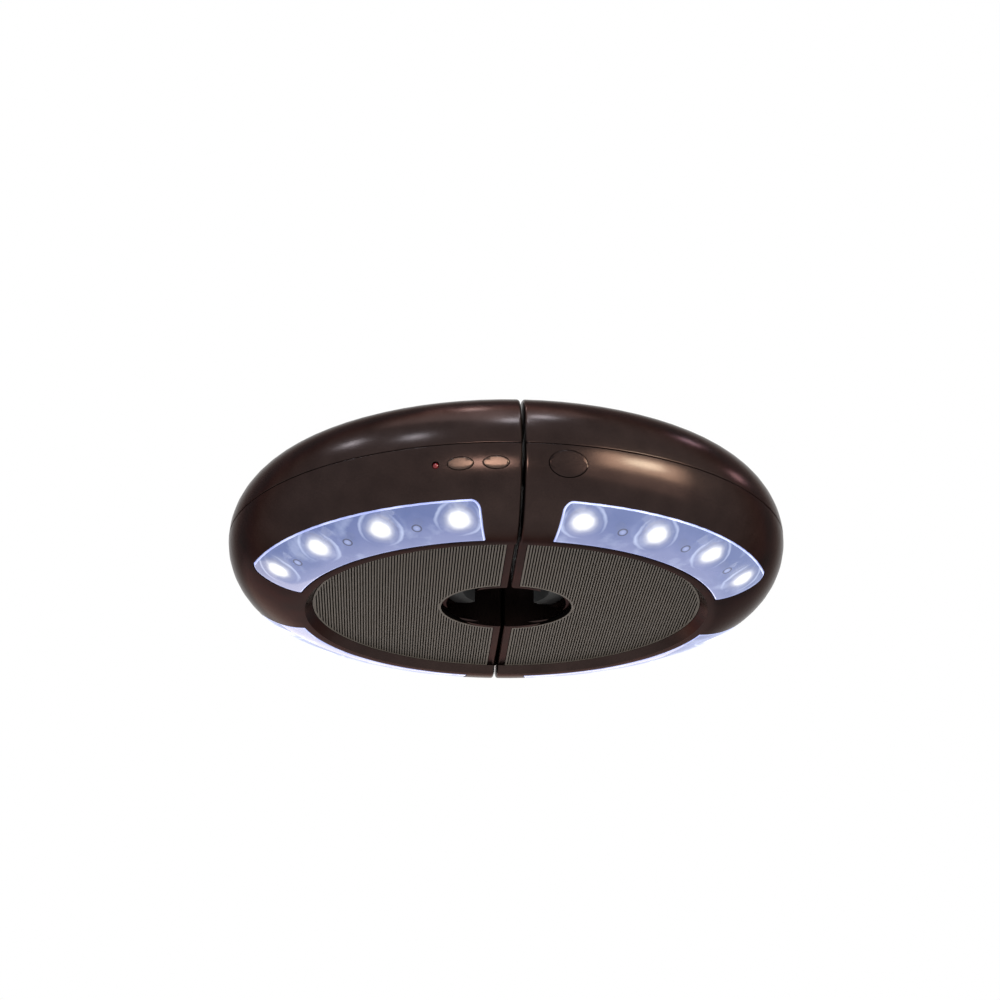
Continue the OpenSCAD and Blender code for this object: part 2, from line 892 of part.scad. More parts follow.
module base_plate() {
    body_z = plate_z + rib_h;
    first = border_x + plate_fit + plate_edge + (rib_pitch - rib_w);
    color(rib_colour) {
        difference() {
            translate([0, 0, plate_z]) linear_extrude(plate_t) plate_plan(0);
            translate([0, 0, plate_z - 1]) linear_extrude(rib_h + 1) intersection() {
                plate_plan(plate_edge);
                for (x = [first : rib_pitch : recess_r]) {
                    translate([x - (rib_pitch - rib_w), -BIG / 2]) square([rib_pitch - rib_w, BIG]);
                }
            }
        }
        for (p = peg_places) translate([p.x, p.y, body_z]) {
            cylinder(h = floor_z - flat_seat - body_z, r = peg_r);
        }
    }
}

// ---------------------------------------------------------------- jaws

// Half plan of a jaw between two radii, as wide as the pad
module jaw_arc(r0, r1) {
    far = 3 * r1;
    intersection() {
        difference() {
            circle(r1);
            circle(r0);
        }
        polygon([[0, 0], for (a = [-1, 0, 1]) far * [cos(a * pad_half_angle), sin(a * pad_half_angle)]]);
    }
}

module jaw_pad() {
    color(black_colour) translate([0, 0, jaw_z]) linear_extrude(jaw_h) jaw_arc(pole_r, carrier_r);
}

module jaw_carrier() {
    color(black_colour) difference() {
        translate([0, 0, jaw_z]) linear_extrude(jaw_h) difference() {
            translate([carrier_r * cos(pad_half_angle), -jaw_w / 2]) {
                square([jaw_back - carrier_r * cos(pad_half_angle), jaw_w]);
            }
            circle(carrier_r);
        }
        for (side = [-1, 1]) translate([spring_seat, side * spring_gap / 2, jaw_z + jaw_h / 2]) {
            rotate([0, 90, 0]) cylinder(h = BIG, r = spring_d / 2 + spring_hole_fit);
        }
    }
}

// Sleeve that the carrier slides in, with a spigot for each spring
module jaw_guide() {
    outer_w = guide_w + 2 * guide_t;
    inner_h = jaw_h + 2 * jaw_fit;
    color(rib_colour) {
        difference() {
            translate([guide_front, -outer_w / 2, floor_z]) {
                cube([guide_back + guide_t - guide_front, outer_w, inner_h + 2 * guide_t]);
            }
            translate([0, -guide_w / 2, floor_z + guide_t]) cube([guide_back, guide_w, inner_h]);
        }
        for (side = [-1, 1]) translate([guide_back - spigot_l, side * spring_gap / 2, jaw_z + jaw_h / 2]) {
            rotate([0, 90, 0]) cylinder(h = spigot_l + sink, r = spigot_r);
        }
    }
}

// Points of a spring's centre line, wound round the X axis
spring_steps = 8;
spring_mean_r = (spring_d - spring_wire) / 2;
spring_rise = spring_end - spring_start - spring_wire;
spring_path = [
    for (i = [0 : spring_turns * spring_steps])
    let (angle = 360 * i / spring_steps)
    [spring_start + spring_wire / 2 + spring_rise * i / (spring_turns * spring_steps),
     spring_mean_r * cos(angle), spring_mean_r * sin(angle)]
];
spring_sides = 6;

// Ring of points round the wire at one place of the centre line
function wire_ring(i) =
    let (p = spring_path[i], out = [0, p.y, p.z] / spring_mean_r)
    [for (k = [0 : spring_sides - 1])
        let (angle = 360 * k / spring_sides)
        p + spring_wire / 2 * (cos(angle) * out + sin(angle) * [1, 0, 0])];

function ring_faces(i) = [
    for (k = [0 : spring_sides - 1])
    let (next = (k + 1) % spring_sides, a = i * spring_sides, b = a + spring_sides)
    each [[a + k, b + k, b + next], [a + k, b + next, a + next]]
];

// Least gap of the wire to itself, a turn apart
spring_gap_to_self = min([
    for (i = [0 : len(spring_path) - 1 - spring_steps]) norm(spring_path[i + spring_steps] - spring_path[i])
]) - spring_wire;
echo(spring_gap_to_self = spring_gap_to_self);

module spring() {
    last = len(spring_path) - 1;
    polyhedron(
        points = [for (i = [0 : last]) each wire_ring(i)],
        faces = [
            [for (k = [0 : spring_sides - 1]) k],
            for (i = [0 : last - 1]) each ring_faces(i),
            [for (k = [spring_sides - 1 : -1 : 0]) last * spring_sides + k]
        ],
        convexity = 10
    );
}

module jaw_springs() {
    color(metal_colour) for (side = [-1, 1]) {
        translate([0, side * spring_gap / 2, jaw_z + jaw_h / 2]) spring();
    }
}

// ---------------------------------------------------------------- cells

module cells() {
    color([0.2, 0.35, 0.6]) for (rear = [false, true], i = [0 : cell_count - 1]) front_or_rear(rear) {
        translate([cell_x, -tray_y - tray_margin - (i + 0.5) * cell_pitch, cell_z]) rotate([0, 90, 0]) {
            cylinder(h = cell_l - cell_tip_h, r = cell_d / 2);
            cylinder(h = cell_l, r = cell_tip_r);
        }
    }
}

// Trays with end walls and low rails between the cells
module battery_tray() {
    far_y = -tray_y - tray_w;
    color(black_colour) for (rear = [false, true]) front_or_rear(rear) {
        difference() {
            translate([tray_x, far_y, floor_z]) cube([tray_l, tray_w, tray_h]);
            translate([tray_x + tray_t, far_y - 1, floor_z + tray_t]) {
                cube([tray_l - 2 * tray_t, tray_w + 2, cell_d]);
            }
        }
        for (i = [0 : cell_count]) {
            rail_y = -tray_y - tray_margin - i * cell_pitch;
            translate([cell_x + tray_rail_in, rail_y - tray_rail_t / 2, floor_z]) {
                cube([cell_l - 2 * tray_rail_in, tray_rail_t, tray_t + tray_rail_h]);
            }
        }
    }
}

// ---------------------------------------------------------------- hinge pin, latch, controls

module hinge_pin() {
    head_h = 1.2;
    head_r = pin_r * 1.7;
    color(metal_colour) hinge_axis() translate([0, 0, barrel_z - head_h]) {
        cylinder(h = head_h, r = head_r);
        cylinder(h = barrel_h + 2 * head_h, r = pin_r);
        translate([0, 0, barrel_h + head_h]) cylinder(h = head_h, r = head_r);
    }
}

// Opening beside the seam that the latch arm passes through
module latch_window(extra) {
    translate([-1, -latch_y - extra - latch_fit, latch_z - latch_fit]) {
        cube([seam_x + wall + 1.5, latch_t + extra + unlock_travel + 2 * latch_fit, latch_h + 2 * latch_fit]);
    }
}

// Rib on the wall that holds the root of the latch arm
module latch_mount() {
    intersection() {
        translate([latch_l - latch_root, -lamp_r, latch_z]) cube([latch_root, lamp_r - latch_y, latch_h]);
        rotate_extrude() section(wall / 2);
    }
}

// Springy arm with a hook that catches behind the strike
module latch_arm() {
    hook_x = -(seam_x + wall + strike_t + strike_fit);
    color(black_colour) {
        translate([0, 0, latch_z]) linear_extrude(latch_h) polygon([
            [latch_l, -latch_y],
            [latch_l, -latch_y + latch_t + latch_swell],
            [latch_l - latch_root, -latch_y + latch_t + latch_swell],
            [latch_l - latch_root - latch_taper, -latch_y + latch_t],
            [hook_x - latch_tip, -latch_y + latch_t],
            [hook_x - latch_tip, -latch_y],
            [hook_x - hook_land, -latch_y - hook_depth],
            [hook_x, -latch_y - hook_depth],
            [hook_x, -latch_y]
        ]);
    }
}

module latch_strike() {
    color(metal_colour) difference() {
        translate([-seam_x - wall - strike_t, -strike_y, strike_z]) cube([strike_t, strike_w, strike_h]);
        mirror([1, 0, 0]) translate([strike_t, 0, 0]) latch_window(0);
    }
}

// Board behind the small buttons, with a hollow switch under each
module control_board() {
    hollow = switch_h - stem_in - small_travel - stem_gap;
    color(board_colour) mirror([1, 0, 0]) at_azimuth(panel_az) {
        translate([panel_r, -panel_w / 2, panel_z - panel_below]) cube([board_t, panel_w, panel_h]);
        for (az = [bright_az, power_az]) translate([panel_r + board_t, panel_offset(az), panel_z]) {
            difference() {
                translate([0, -switch_side / 2, -switch_side / 2]) cube([switch_h, switch_side, switch_side]);
                translate([hollow, 0, 0]) rotate([0, 90, 0]) cylinder(h = switch_h, r = stem_r + stem_gap);
            }
        }
    }
}

module indicator_lamp() {
    tip = sqrt(pow(lamp_r, 2) - pow(panel_offset(lamp_az), 2)) - lamp_set;
    start = panel_r + board_t;
    color([0.7, 0.1, 0.1]) mirror([1, 0, 0]) at_panel(lamp_az) {
        translate([start, 0, 0]) rotate([0, 90, 0]) cylinder(h = tip - start, r = lamp_tip_d / 2);
        translate([start, 0, 0]) rotate([0, 90, 0]) {
            cylinder(h = lamp_foot_h, r = lamp_tip_d / 2 + lamp_foot_w);
        }
        translate([tip, 0, 0]) sphere(lamp_tip_d / 2);
    }
}

// Radius of the inside of the shell at a height
function inside_r(z) = belly_c.x + sqrt(pow(belly_r - wall, 2) - pow(belly_c.y - z, 2));

// Where the hidden edge of a button starts, clear of the curved wall in front of it
function edge_start(offset, z, length, height) =
    let (low = inside_r(z - height / 2 - button_edge), side = abs(offset) + length / 2 + button_edge)
    sqrt(pow(low, 2) - pow(side, 2)) - flat_seat - edge_t;

// Button cap: its face follows the shell, and an edge behind the shell keeps it in
module button_cap(length, height, start) {
    ellipse_prism(length, height, start, lamp_r + 1);
    ellipse_prism(length + 2 * button_edge, height + 2 * button_edge, start, start + edge_t);
}

module small_button(az) {
    start = edge_start(panel_offset(az), panel_z, small_button_l, small_button_h);
    color(shell_colour) mirror([1, 0, 0]) {
        intersection() {
            at_panel(az) button_cap(small_button_l, small_button_h, start);
            rotate_extrude() section(-button_proud);
        }
        at_panel(az) translate([switch_top - stem_in, 0, 0]) rotate([0, 90, 0]) {
            cylinder(h = start - switch_top + stem_in + edge_t / 2, r = stem_r);
        }
    }
}

module power_button() small_button(power_az);

module brightness_button() small_button(bright_az);

module unlock_button() {
    start = edge_start(0, unlock_z, unlock_l, unlock_h);
    stem_start = latch_y / cos(unlock_az) + unlock_stem_r * tan(unlock_az) + flat_seat;
    color(shell_colour) {
        intersection() {
            at_unlock() button_cap(unlock_l, unlock_h, start);
            rotate_extrude() section(-button_proud);
        }
        at_unlock() translate([stem_start, 0, latch_z + latch_h / 2 - unlock_z]) rotate([0, 90, 0]) {
            cylinder(h = start - stem_start + edge_t / 2, r = unlock_stem_r);
        }
    }
}

// ---------------------------------------------------------------- nodes

module left() mirror([1, 0, 0]) children();

left_lower_shell();
left_top_cover();
left() base_plate();  // left_base_plate
left() lens(false);  // left_front_lens
left() lens(true);  // left_rear_lens
left() reflector(false);  // left_front_reflector
left() reflector(true);  // left_rear_reflector
left() boards(false);  // left_front_boards
left() boards(true);  // left_rear_boards
left() leds(false);  // left_front_leds
left() leds(true);  // left_rear_leds
left() lens_screws();  // left_lens_screws
left() cover_screws();  // left_cover_screws
left() battery_tray();  // left_battery_tray
left() cells();  // left_cells
left() jaw_guide();  // left_jaw_guide
left() jaw_carrier();  // left_jaw_carrier
left() jaw_pad();  // left_jaw_pad
left() jaw_springs();  // left_jaw_springs
right_lower_shell();
right_top_cover();
base_plate();  // right_base_plate
lens(false);  // right_front_lens
lens(true);  // right_rear_lens
reflector(false);  // right_front_reflector
reflector(true);  // right_rear_reflector
boards(false);  // right_front_boards
boards(true);  // right_rear_boards
leds(false);  // right_front_leds
leds(true);  // right_rear_leds
lens_screws();  // right_lens_screws
cover_screws();  // right_cover_screws
battery_tray();  // right_battery_tray
cells();  // right_cells
jaw_guide();  // right_jaw_guide
jaw_carrier();  // right_jaw_carrier
jaw_pad();  // right_jaw_pad
jaw_springs();  // right_jaw_springs
hinge_pin();
latch_arm();
latch_strike();
control_board();
indicator_lamp();
power_button();
brightness_button();
unlock_button();
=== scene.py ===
"""Looks of a patio umbrella light: two hinged half rings with lens strips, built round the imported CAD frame.

Sizes are in millimetres in the dataclasses and become metres where a mesh is made. The ring's axis is Z, the
front seam faces -Y, and the half with the large button is at +X.
"""
import logging
import math
from collections.abc import Callable, Iterator, Sequence
from contextlib import contextmanager
from dataclasses import dataclass
from enum import Enum

import bmesh
import bpy
from mathutils import Matrix, Vector


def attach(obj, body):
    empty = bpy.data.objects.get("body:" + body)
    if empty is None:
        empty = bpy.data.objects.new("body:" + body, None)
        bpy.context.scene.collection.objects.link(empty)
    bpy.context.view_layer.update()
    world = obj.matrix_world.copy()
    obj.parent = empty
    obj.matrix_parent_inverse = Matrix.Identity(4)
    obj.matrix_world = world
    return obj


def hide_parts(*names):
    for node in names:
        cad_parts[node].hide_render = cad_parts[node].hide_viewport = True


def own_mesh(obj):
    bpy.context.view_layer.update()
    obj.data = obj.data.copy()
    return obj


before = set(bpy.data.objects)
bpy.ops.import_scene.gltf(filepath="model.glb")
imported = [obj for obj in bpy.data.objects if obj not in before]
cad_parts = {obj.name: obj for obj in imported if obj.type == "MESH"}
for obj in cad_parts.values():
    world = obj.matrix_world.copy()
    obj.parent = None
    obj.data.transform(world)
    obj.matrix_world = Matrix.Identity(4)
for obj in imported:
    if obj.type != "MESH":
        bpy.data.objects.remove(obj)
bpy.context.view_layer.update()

log = logging.getLogger("umbrella_light")

MM = 0.001
CLOSE = 1e-5  # metres between places that count as the same
PAST = 1.0  # millimetres by which a cutting tool stands past what it cuts
ROUND_STEPS = 3

Pair = tuple[float, float]
Triple = tuple[float, float, float]
Box = tuple[Triple, Triple]
Colour = Triple
Stops = Sequence[tuple[float, Colour]]
Profile = list[Pair]
Socket = bpy.types.NodeSocket
EdgeTest = Callable[[bmesh.types.BMEdge], bool]


class Element(Enum):
    """Kinds of mesh element that a selection is made of."""

    VERTEX = "VERT"
    EDGE = "EDGE"
    FACE = "FACE"


class Cut(Enum):
    """What a boolean leaves of a piece."""

    AWAY = "DIFFERENCE"
    COMMON = "INTERSECT"


class Side(Enum):
    """The two halves of the ring, with the sign of their X."""

    LEFT = -1
    RIGHT = 1

    @property
    def label(self) -> str:
        """Name of the side as the nodes spell it."""
        return self.name.lower()

    @property
    def body(self) -> str:
        """CAD body of the half."""
        return f"{self.label}_half"


# ------------------------------------------------------------------ modelling by hand


def pick(piece: bpy.types.Object) -> None:
    """Makes a piece the only selected one and the active one.

    Args:
        piece: The object to work on.
    """
    bpy.ops.object.select_all(action="DESELECT")
    piece.select_set(True)
    bpy.context.view_layer.objects.active = piece


@contextmanager
def shaping(piece: bpy.types.Object) -> Iterator[None]:
    """Opens a piece in edit mode with nothing selected, and closes it again.

    Args:
        piece: The mesh object to shape.
    """
    pick(piece)
    bpy.ops.object.mode_set(mode="EDIT")
    bpy.ops.mesh.select_mode(type=Element.VERTEX.value)
    bpy.ops.mesh.select_all(action="DESELECT")
    try:
        yield
    finally:
        bpy.ops.object.mode_set(mode="OBJECT")


def choose(piece: bpy.types.Object, kind: Element, wanted: Callable[..., bool]) -> int:
    """Selects the elements of a piece in edit mode that pass a test, and no others.

    Args:
        piece: The mesh object that is open in edit mode.
        kind: Vertices, edges or faces.
        wanted: Test of one element.

    Returns:
        How many elements were selected.
    """
    bpy.ops.mesh.select_mode(type=kind.value)
    bpy.ops.mesh.select_all(action="DESELECT")
    mesh = bmesh.from_edit_mesh(piece.data)
    pool = {Element.VERTEX: mesh.verts, Element.EDGE: mesh.edges, Element.FACE: mesh.faces}[kind]
    chosen = [element for element in pool if wanted(element)]
    for element in chosen:
        element.select_set(True)
    bmesh.update_edit_mesh(piece.data)
    return len(chosen)


def new_piece(name: str) -> bpy.types.Object:
    """Names the primitive that has just been added.

    Args:
        name: Name of the piece.

    Returns:
        The active object under its new name.
    """
    piece = bpy.context.object
    piece.name = piece.data.name = name
    return piece


def settle(piece: bpy.types.Object) -> bpy.types.Object:
    """Moves an object's place into its mesh, so that the object sits at the origin.

    Args:
        piece: The object to settle.

    Returns:
        The same object.
    """
    pick(piece)
    bpy.ops.object.transform_apply(location=True, rotation=True, scale=True)
    return piece


def place(piece: bpy.types.Object, matrix: Matrix) -> bpy.types.Object:
    """Puts a piece where a matrix says and settles it there.

    Args:
        piece: A piece that was modelled at the origin.
        matrix: Its place in metres.

    Returns:
        The same object.
    """
    piece.matrix_world = matrix
    return settle(piece)


def draw(name: str, points: Sequence[Vector], fill: bool = False) -> bpy.types.Object:
    """Draws a closed outline by extruding one vertex from point to point.

    Args:
        name: Name of the piece.
        points: Corners of the outline, in metres.
        fill: Whether the outline becomes a face.

    Returns:
        The outline as a mesh object.
    """
    bpy.ops.object.select_all(action="DESELECT")
    bpy.ops.mesh.primitive_plane_add(size=MM, location=(0, 0, 0))
    piece = new_piece(name)
    with shaping(piece):
        bpy.ops.mesh.select_all(action="SELECT")
        bpy.ops.mesh.merge(type="CENTER")
        bpy.ops.mesh.select_all(action="SELECT")
        bpy.ops.transform.translate(value=points[0])
        for before, after in zip(points, points[1:]):
            bpy.ops.mesh.extrude_region_move(TRANSFORM_OT_translate={"value": after - before})
        ends = {0, len(points) - 1}
        choose(piece, Element.VERTEX, lambda vertex: vertex.index in ends)
        bpy.ops.mesh.edge_face_add()
        if fill:
            bpy.ops.mesh.select_all(action="SELECT")
            bpy.ops.mesh.edge_face_add()
    return piece


def spun(name: str, profile: Profile, start: float, sweep: float, steps: int) -> bpy.types.Object:
    """Turns a closed profile round the ring's axis into a solid with closed ends.

    Args:
        name: Name of the piece.
        profile: Radius and height of each corner, in millimetres.
        start: Angle from the front seam to the start, in degrees.
        sweep: Angle that the solid covers, in degrees.
        steps: Steps of the turn.

    Returns:
        The solid.
    """
    out = Vector((math.sin(math.radians(start)), -math.cos(math.radians(start)), 0))
    piece = draw(name, [(out * r + Vector((0, 0, z))) * MM for r, z in profile])
    with shaping(piece):
        bpy.ops.mesh.select_all(action="SELECT")
        bpy.ops.mesh.spin(steps=steps, angle=-math.radians(sweep), center=(0, 0, 0), axis=(0, 0, 1))
        bpy.ops.mesh.select_all(action="SELECT")
        bpy.ops.mesh.remove_doubles(threshold=CLOSE / 10)
        bpy.ops.mesh.fill_holes(sides=0)
        bpy.ops.mesh.select_all(action="SELECT")
        bpy.ops.mesh.normals_make_consistent(inside=False)
    return piece


def raised(name: str, plan: Profile, z0: float, z1: float) -> bpy.types.Object:
    """Raises a plan outline into a prism.

    Args:
        name: Name of the piece.
        plan: X and Y of each corner, in millimetres.
        z0: Height of the underside.
        z1: Height of the top.

    Returns:
        The prism.
    """
    piece = draw(name, [Vector((x, y, z0)) * MM for x, y in plan], fill=True)
    with shaping(piece):
        bpy.ops.mesh.select_all(action="SELECT")
        bpy.ops.mesh.extrude_region_move(TRANSFORM_OT_translate={"value": (0, 0, (z1 - z0) * MM)})
        bpy.ops.mesh.select_all(action="SELECT")
        bpy.ops.mesh.normals_make_consistent(inside=False)
    return piece


def block(name: str, low: Sequence[float], high: Sequence[float]) -> bpy.types.Object:
    """Adds a box between two corners.

    Args:
        name: Name of the piece.
        low: Lowest corner, in millimetres.
        high: Highest corner, in millimetres.

    Returns:
        The box.
    """
    a, b = Vector(low) * MM, Vector(high) * MM
    bpy.ops.object.select_all(action="DESELECT")
    bpy.ops.mesh.primitive_cube_add(size=1, location=(a + b) / 2, scale=b - a)
    return settle(new_piece(name))


def rod(name: str, radius: float, z0: float, z1: float, sides: int = 48) -> bpy.types.Object:
    """Adds an upright cylinder on the Z axis.

    Args:
        name: Name of the piece.
        radius: Its radius, in millimetres.
        z0: Height of the lower end.
        z1: Height of the upper end.
        sides: Sides of the cylinder.

    Returns:
        The cylinder.
    """
    bpy.ops.object.select_all(action="DESELECT")
    bpy.ops.mesh.primitive_cylinder_add(
        vertices=sides, radius=radius * MM, depth=(z1 - z0) * MM, location=(0, 0, (z0 + z1) / 2 * MM)
    )
    return settle(new_piece(name))


def cut(piece: bpy.types.Object, tool: bpy.types.Object, how: Cut = Cut.AWAY, keep: bool = False) -> None:
    """Applies a boolean with another piece.

    Args:
        piece: The piece that is cut.
        tool: The piece that cuts it.
        how: What is left.
        keep: Whether the tool stays for another cut.
    """
    modifier = piece.modifiers.new("cut", "BOOLEAN")
    modifier.object = tool
    modifier.operation = how.value
    modifier.solver = "EXACT"
    pick(piece)
    bpy.ops.object.modifier_apply(modifier=modifier.name)
    if not keep:
        bpy.data.objects.remove(tool)


def copy(
    piece: bpy.types.Object, name: str, mirrored: Sequence[bool] = (False, False, False)
) -> bpy.types.Object:
    """Copies a piece with a mesh of its own, and turns it over if asked.

    Args:
        piece: The piece to copy.
        name: Name of the copy.
        mirrored: Axes across which the copy is mirrored.

    Returns:
        The copy.
    """
    pick(piece)
    bpy.ops.object.duplicate(linked=False)
    twin = new_piece(name)
    if any(mirrored):
        signs = [-1 if turned else 1 for turned in mirrored]
        with shaping(twin):
            bpy.ops.mesh.select_all(action="SELECT")
            bpy.ops.transform.resize(value=signs, center_override=(0, 0, 0))
            if sum(mirrored) % 2:
                bpy.ops.mesh.flip_normals()
    return twin


def join(name: str, pieces: Sequence[bpy.types.Object]) -> bpy.types.Object:
    """Joins pieces into one object.

    Args:
        name: Name of the joined piece.
        pieces: The pieces, the first of which stays.

    Returns:
        The joined piece.
    """
    pick(pieces[0])
    for piece in pieces:
        piece.select_set(True)
    if len(pieces) > 1:
        bpy.ops.object.join()
    return new_piece(name)


def merge_close(piece: bpy.types.Object, distance: float) -> None:
    """Merges corners that lie so close together that they would spoil a rounding.

    Args:
        piece: The piece.
        distance: Shortest edge that is left, in millimetres.
    """
    with shaping(piece):
        bpy.ops.mesh.select_all(action="SELECT")
        bpy.ops.mesh.remove_doubles(threshold=distance * MM)


def trim(piece: bpy.types.Object, x: float) -> None:
    """Cuts off what lies on the left of an upright plane and closes the cut.

    Args:
        piece: The piece.
        x: Place of the plane, in millimetres.
    """
    with shaping(piece):
        bpy.ops.mesh.select_all(action="SELECT")
        bpy.ops.mesh.bisect(plane_co=(x * MM, 0, 0), plane_no=(1, 0, 0), use_fill=True, clear_inner=True)


def soften(piece: bpy.types.Object, wanted: EdgeTest, radius: float) -> None:
    """Rounds the edges of a piece that pass a test.

    Args:
        piece: The piece.
        wanted: Test of one edge.
        radius: Width of the rounding, in millimetres.
    """
    with shaping(piece):
        if choose(piece, Element.EDGE, wanted):
            bpy.ops.mesh.bevel(offset=radius * MM, segments=ROUND_STEPS, affect="EDGES", clamp_overlap=False)


def sharper_than(degrees: float) -> EdgeTest:
    """Makes the test of an edge whose faces meet at more than an angle.

    Args:
        degrees: The angle.

    Returns:
        The test.
    """

    def test(edge: bmesh.types.BMEdge) -> bool:
        """Whether the edge is sharp."""
        return len(edge.link_faces) == 2 and edge.calc_face_angle(0.0) > math.radians(degrees)

    return test


def smooth(piece: bpy.types.Object, degrees: float = 30) -> None:
    """Shades a piece smooth, apart from its sharp edges.

    Args:
        piece: The piece.
        degrees: Angle from which an edge stays sharp.
    """
    pick(piece)
    bpy.ops.object.shade_smooth_by_angle(angle=math.radians(degrees))


# ------------------------------------------------------------------ outline of the ring


@dataclass(frozen=True)
class RingOutline:
    """Section of the ring: a round belly with a flatter arc below and above it, and a rounded bore.

    The parting line shows on the outside, and the joint of the shells lies higher inside. The strips of lenses
    and the hinge are placed on the same ring.
    """

    lamp_r: float = 123.0
    lamp_h: float = 63.0
    bore_r: float = 26.5
    bore_round: float = 8.0
    belly: Pair = (94.0, 30.0)
    belly_r: float = 29.0
    under: Pair = (90.0, 37.33)
    under_r: float = 37.33
    over: Pair = (79.0, 4.02)
    over_r: float = 58.98
    rim_r: float = 88.6
    recess_r: float = 85.5
    recess_z: float = 3.3
    parting_z: float = 30.4
    joint_z: float = 37.0
    groove_spread: float = 1.3
    strip_inner_r: float = 92.5
    strip_outer_r: float = 114.5
    hinge_y: float = 116.5

    def mouth(self) -> Pair:
        """Radius and height of the centre of the arc that rounds the bore's upper edge."""
        return self.bore_r + self.bore_round, self.lamp_h - self.bore_round

    def under_join(self) -> float:
        """Angle at which the underside arc runs into the belly, in radians."""
        return math.atan2(self.belly[1] - self.under[1], self.belly[0] - self.under[0])

    def over_join(self) -> float:
        """Angle at which the belly runs into the top arc, in radians."""
        return math.atan2(self.belly[1] - self.over[1], self.belly[0] - self.over[0])

    def arc(self, centre: Pair, radius: float, a0: float, a1: float, steps: int) -> Profile:
        """Points along an arc.

        Args:
            centre: Radius and height of its centre.
            radius: Its radius.
            a0: First angle, in radians.
            a1: Last angle.
            steps: Steps between them.

        Returns:
            The points, both ends among them.
        """
        angles = [a0 + (a1 - a0) * i / steps for i in range(steps + 1)]
        return [(centre[0] + radius * math.cos(a), centre[1] + radius * math.sin(a)) for a in angles]

    def outside(self, inset: float = 0.0, groove: float = 0.0) -> Profile:
        """The curved outside from the lowest line, round the belly, over the top and into the bore.

        Args:
            inset: How far inside the surface the line runs.
            groove: Depth of the groove at the parting line.

        Returns:
            The points, from below to the bore.
        """
        low, high = self.under_join(), self.over_join()
        parting = math.asin((self.parting_z - self.belly[1]) / self.belly_r)
        half = self.groove_spread * groove / self.belly_r
        points = self.arc(self.under, self.under_r - inset, -math.pi / 2, low, 6)
        points += self.arc(self.belly, self.belly_r - inset, low, parting - half, 14)[1:]
        if groove:
            points += self.arc(self.belly, self.belly_r - groove, parting, parting, 1)[1:]
            points += self.arc(self.belly, self.belly_r, parting + half, parting + half, 1)[1:]
        points += self.arc(self.belly, self.belly_r - inset, parting + half, high, 11)[1:]
        points += self.arc(self.over, self.over_r - inset, high, math.pi / 2, 8)[1:]
        return points + self.arc(self.mouth(), self.bore_round - inset, math.pi / 2, math.pi, 8)

    def under_z(self, r: float) -> float:
        """Height of the underside at a radius.

        Args:
            r: The radius.

        Returns:
            The height.
        """
        centre, radius = self.under_curve(r)
        return centre[1] - math.sqrt(radius**2 - (r - centre[0]) ** 2)

    def under_curve(self, r: float) -> tuple[Pair, float]:
        """Centre and radius of the arc that the underside follows at a radius.

        Args:
            r: The radius.

        Returns:
            The centre and the radius of the arc.
        """
        if r < self.under[0] + self.under_r * math.cos(self.under_join()):
            return self.under, self.under_r
        return self.belly, self.belly_r

    def under_frame(self, azimuth: float, r: float, side: Side, rear: bool) -> Matrix:
        """Place on the underside whose Z axis points square into the ring.

        Args:
            azimuth: Angle from the seam, in degrees.
            r: Radius of the place.
            side: Half of the ring.
            rear: Whether it is on the rear half.

        Returns:
            The matrix in metres.
        """
        centre, radius = self.under_curve(r)
        lean = math.asin((r - centre[0]) / radius)
        turn = math.radians(azimuth - 90)
        out = Vector((math.cos(turn) * side.value, math.sin(turn) * (-1 if rear else 1), 0))
        inward = Vector((0, 0, 1)) * math.cos(lean) - out * math.sin(lean)
        across = inward.cross(out).normalized()
        along = across.cross(inward)
        matrix = Matrix((along, across, inward)).transposed().to_4x4()
        matrix.translation = (out * r + Vector((0, 0, self.under_z(r)))) * MM
        return matrix

    def normal_at(self, point: Vector, slack: float = 0.16) -> Vector | None:
        """Exact normal of the curved outside at a point.

        Args:
            point: A place in metres.
            slack: How far off the surface it may be, in millimetres.

        Returns:
            The normal, or None where the point is off the curves.
        """
        r, z = math.hypot(point.x, point.y) / MM, point.z / MM
        if r < 1:
            return None
        low, high, ease = self.under_join(), self.over_join(), 0.01
        arcs = (
            (self.under, self.under_r, -math.pi / 2, low),
            (self.belly, self.belly_r, low, high),
            (self.over, self.over_r, high, math.pi / 2),
            (self.mouth(), self.bore_round, math.pi / 2, math.pi),
        )
        for centre, radius, a0, a1 in arcs:
            dr, dz = r - centre[0], z - centre[1]
            if abs(math.hypot(dr, dz) - radius) < slack and a0 - ease <= math.atan2(dz, dr) <= a1 + ease:
                out = Vector((point.x, point.y, 0)).normalized()
                return (out * dr + Vector((0, 0, dz))).normalized()
        return None

    def polish(self, piece: bpy.types.Object, limit: float = 40) -> None:
        """Gives the corners that lie on the curved outside their exact normals, so that cuts leave no dents.

        Args:
            piece: A piece that is shaded smooth.
            limit: Angle from the exact normal up to which a face takes it, in degrees.
        """
        mesh = piece.data
        normals = [Vector(corner.vector) for corner in mesh.corner_normals]
        exact = [self.normal_at(vertex.co) for vertex in mesh.vertices]
        for polygon in mesh.polygons:
            for index in polygon.loop_indices:
                normal = exact[mesh.loops[index].vertex_index]
                if normal is not None and normal.angle(polygon.normal, math.pi) < math.radians(limit):
                    normals[index] = normal
        mesh.normals_split_custom_set(normals)


OUTLINE = RingOutline()


# ------------------------------------------------------------------ finishes


SOCKETS = {
    "ior": "IOR",
    "coat": "Coat Weight",
    "specular": "Specular IOR Level",
    "edge_tint": "Specular Tint",
}


def grey(value: float) -> Colour:
    """A grey, or a share that is given as a colour."""
    return (value, value, value)


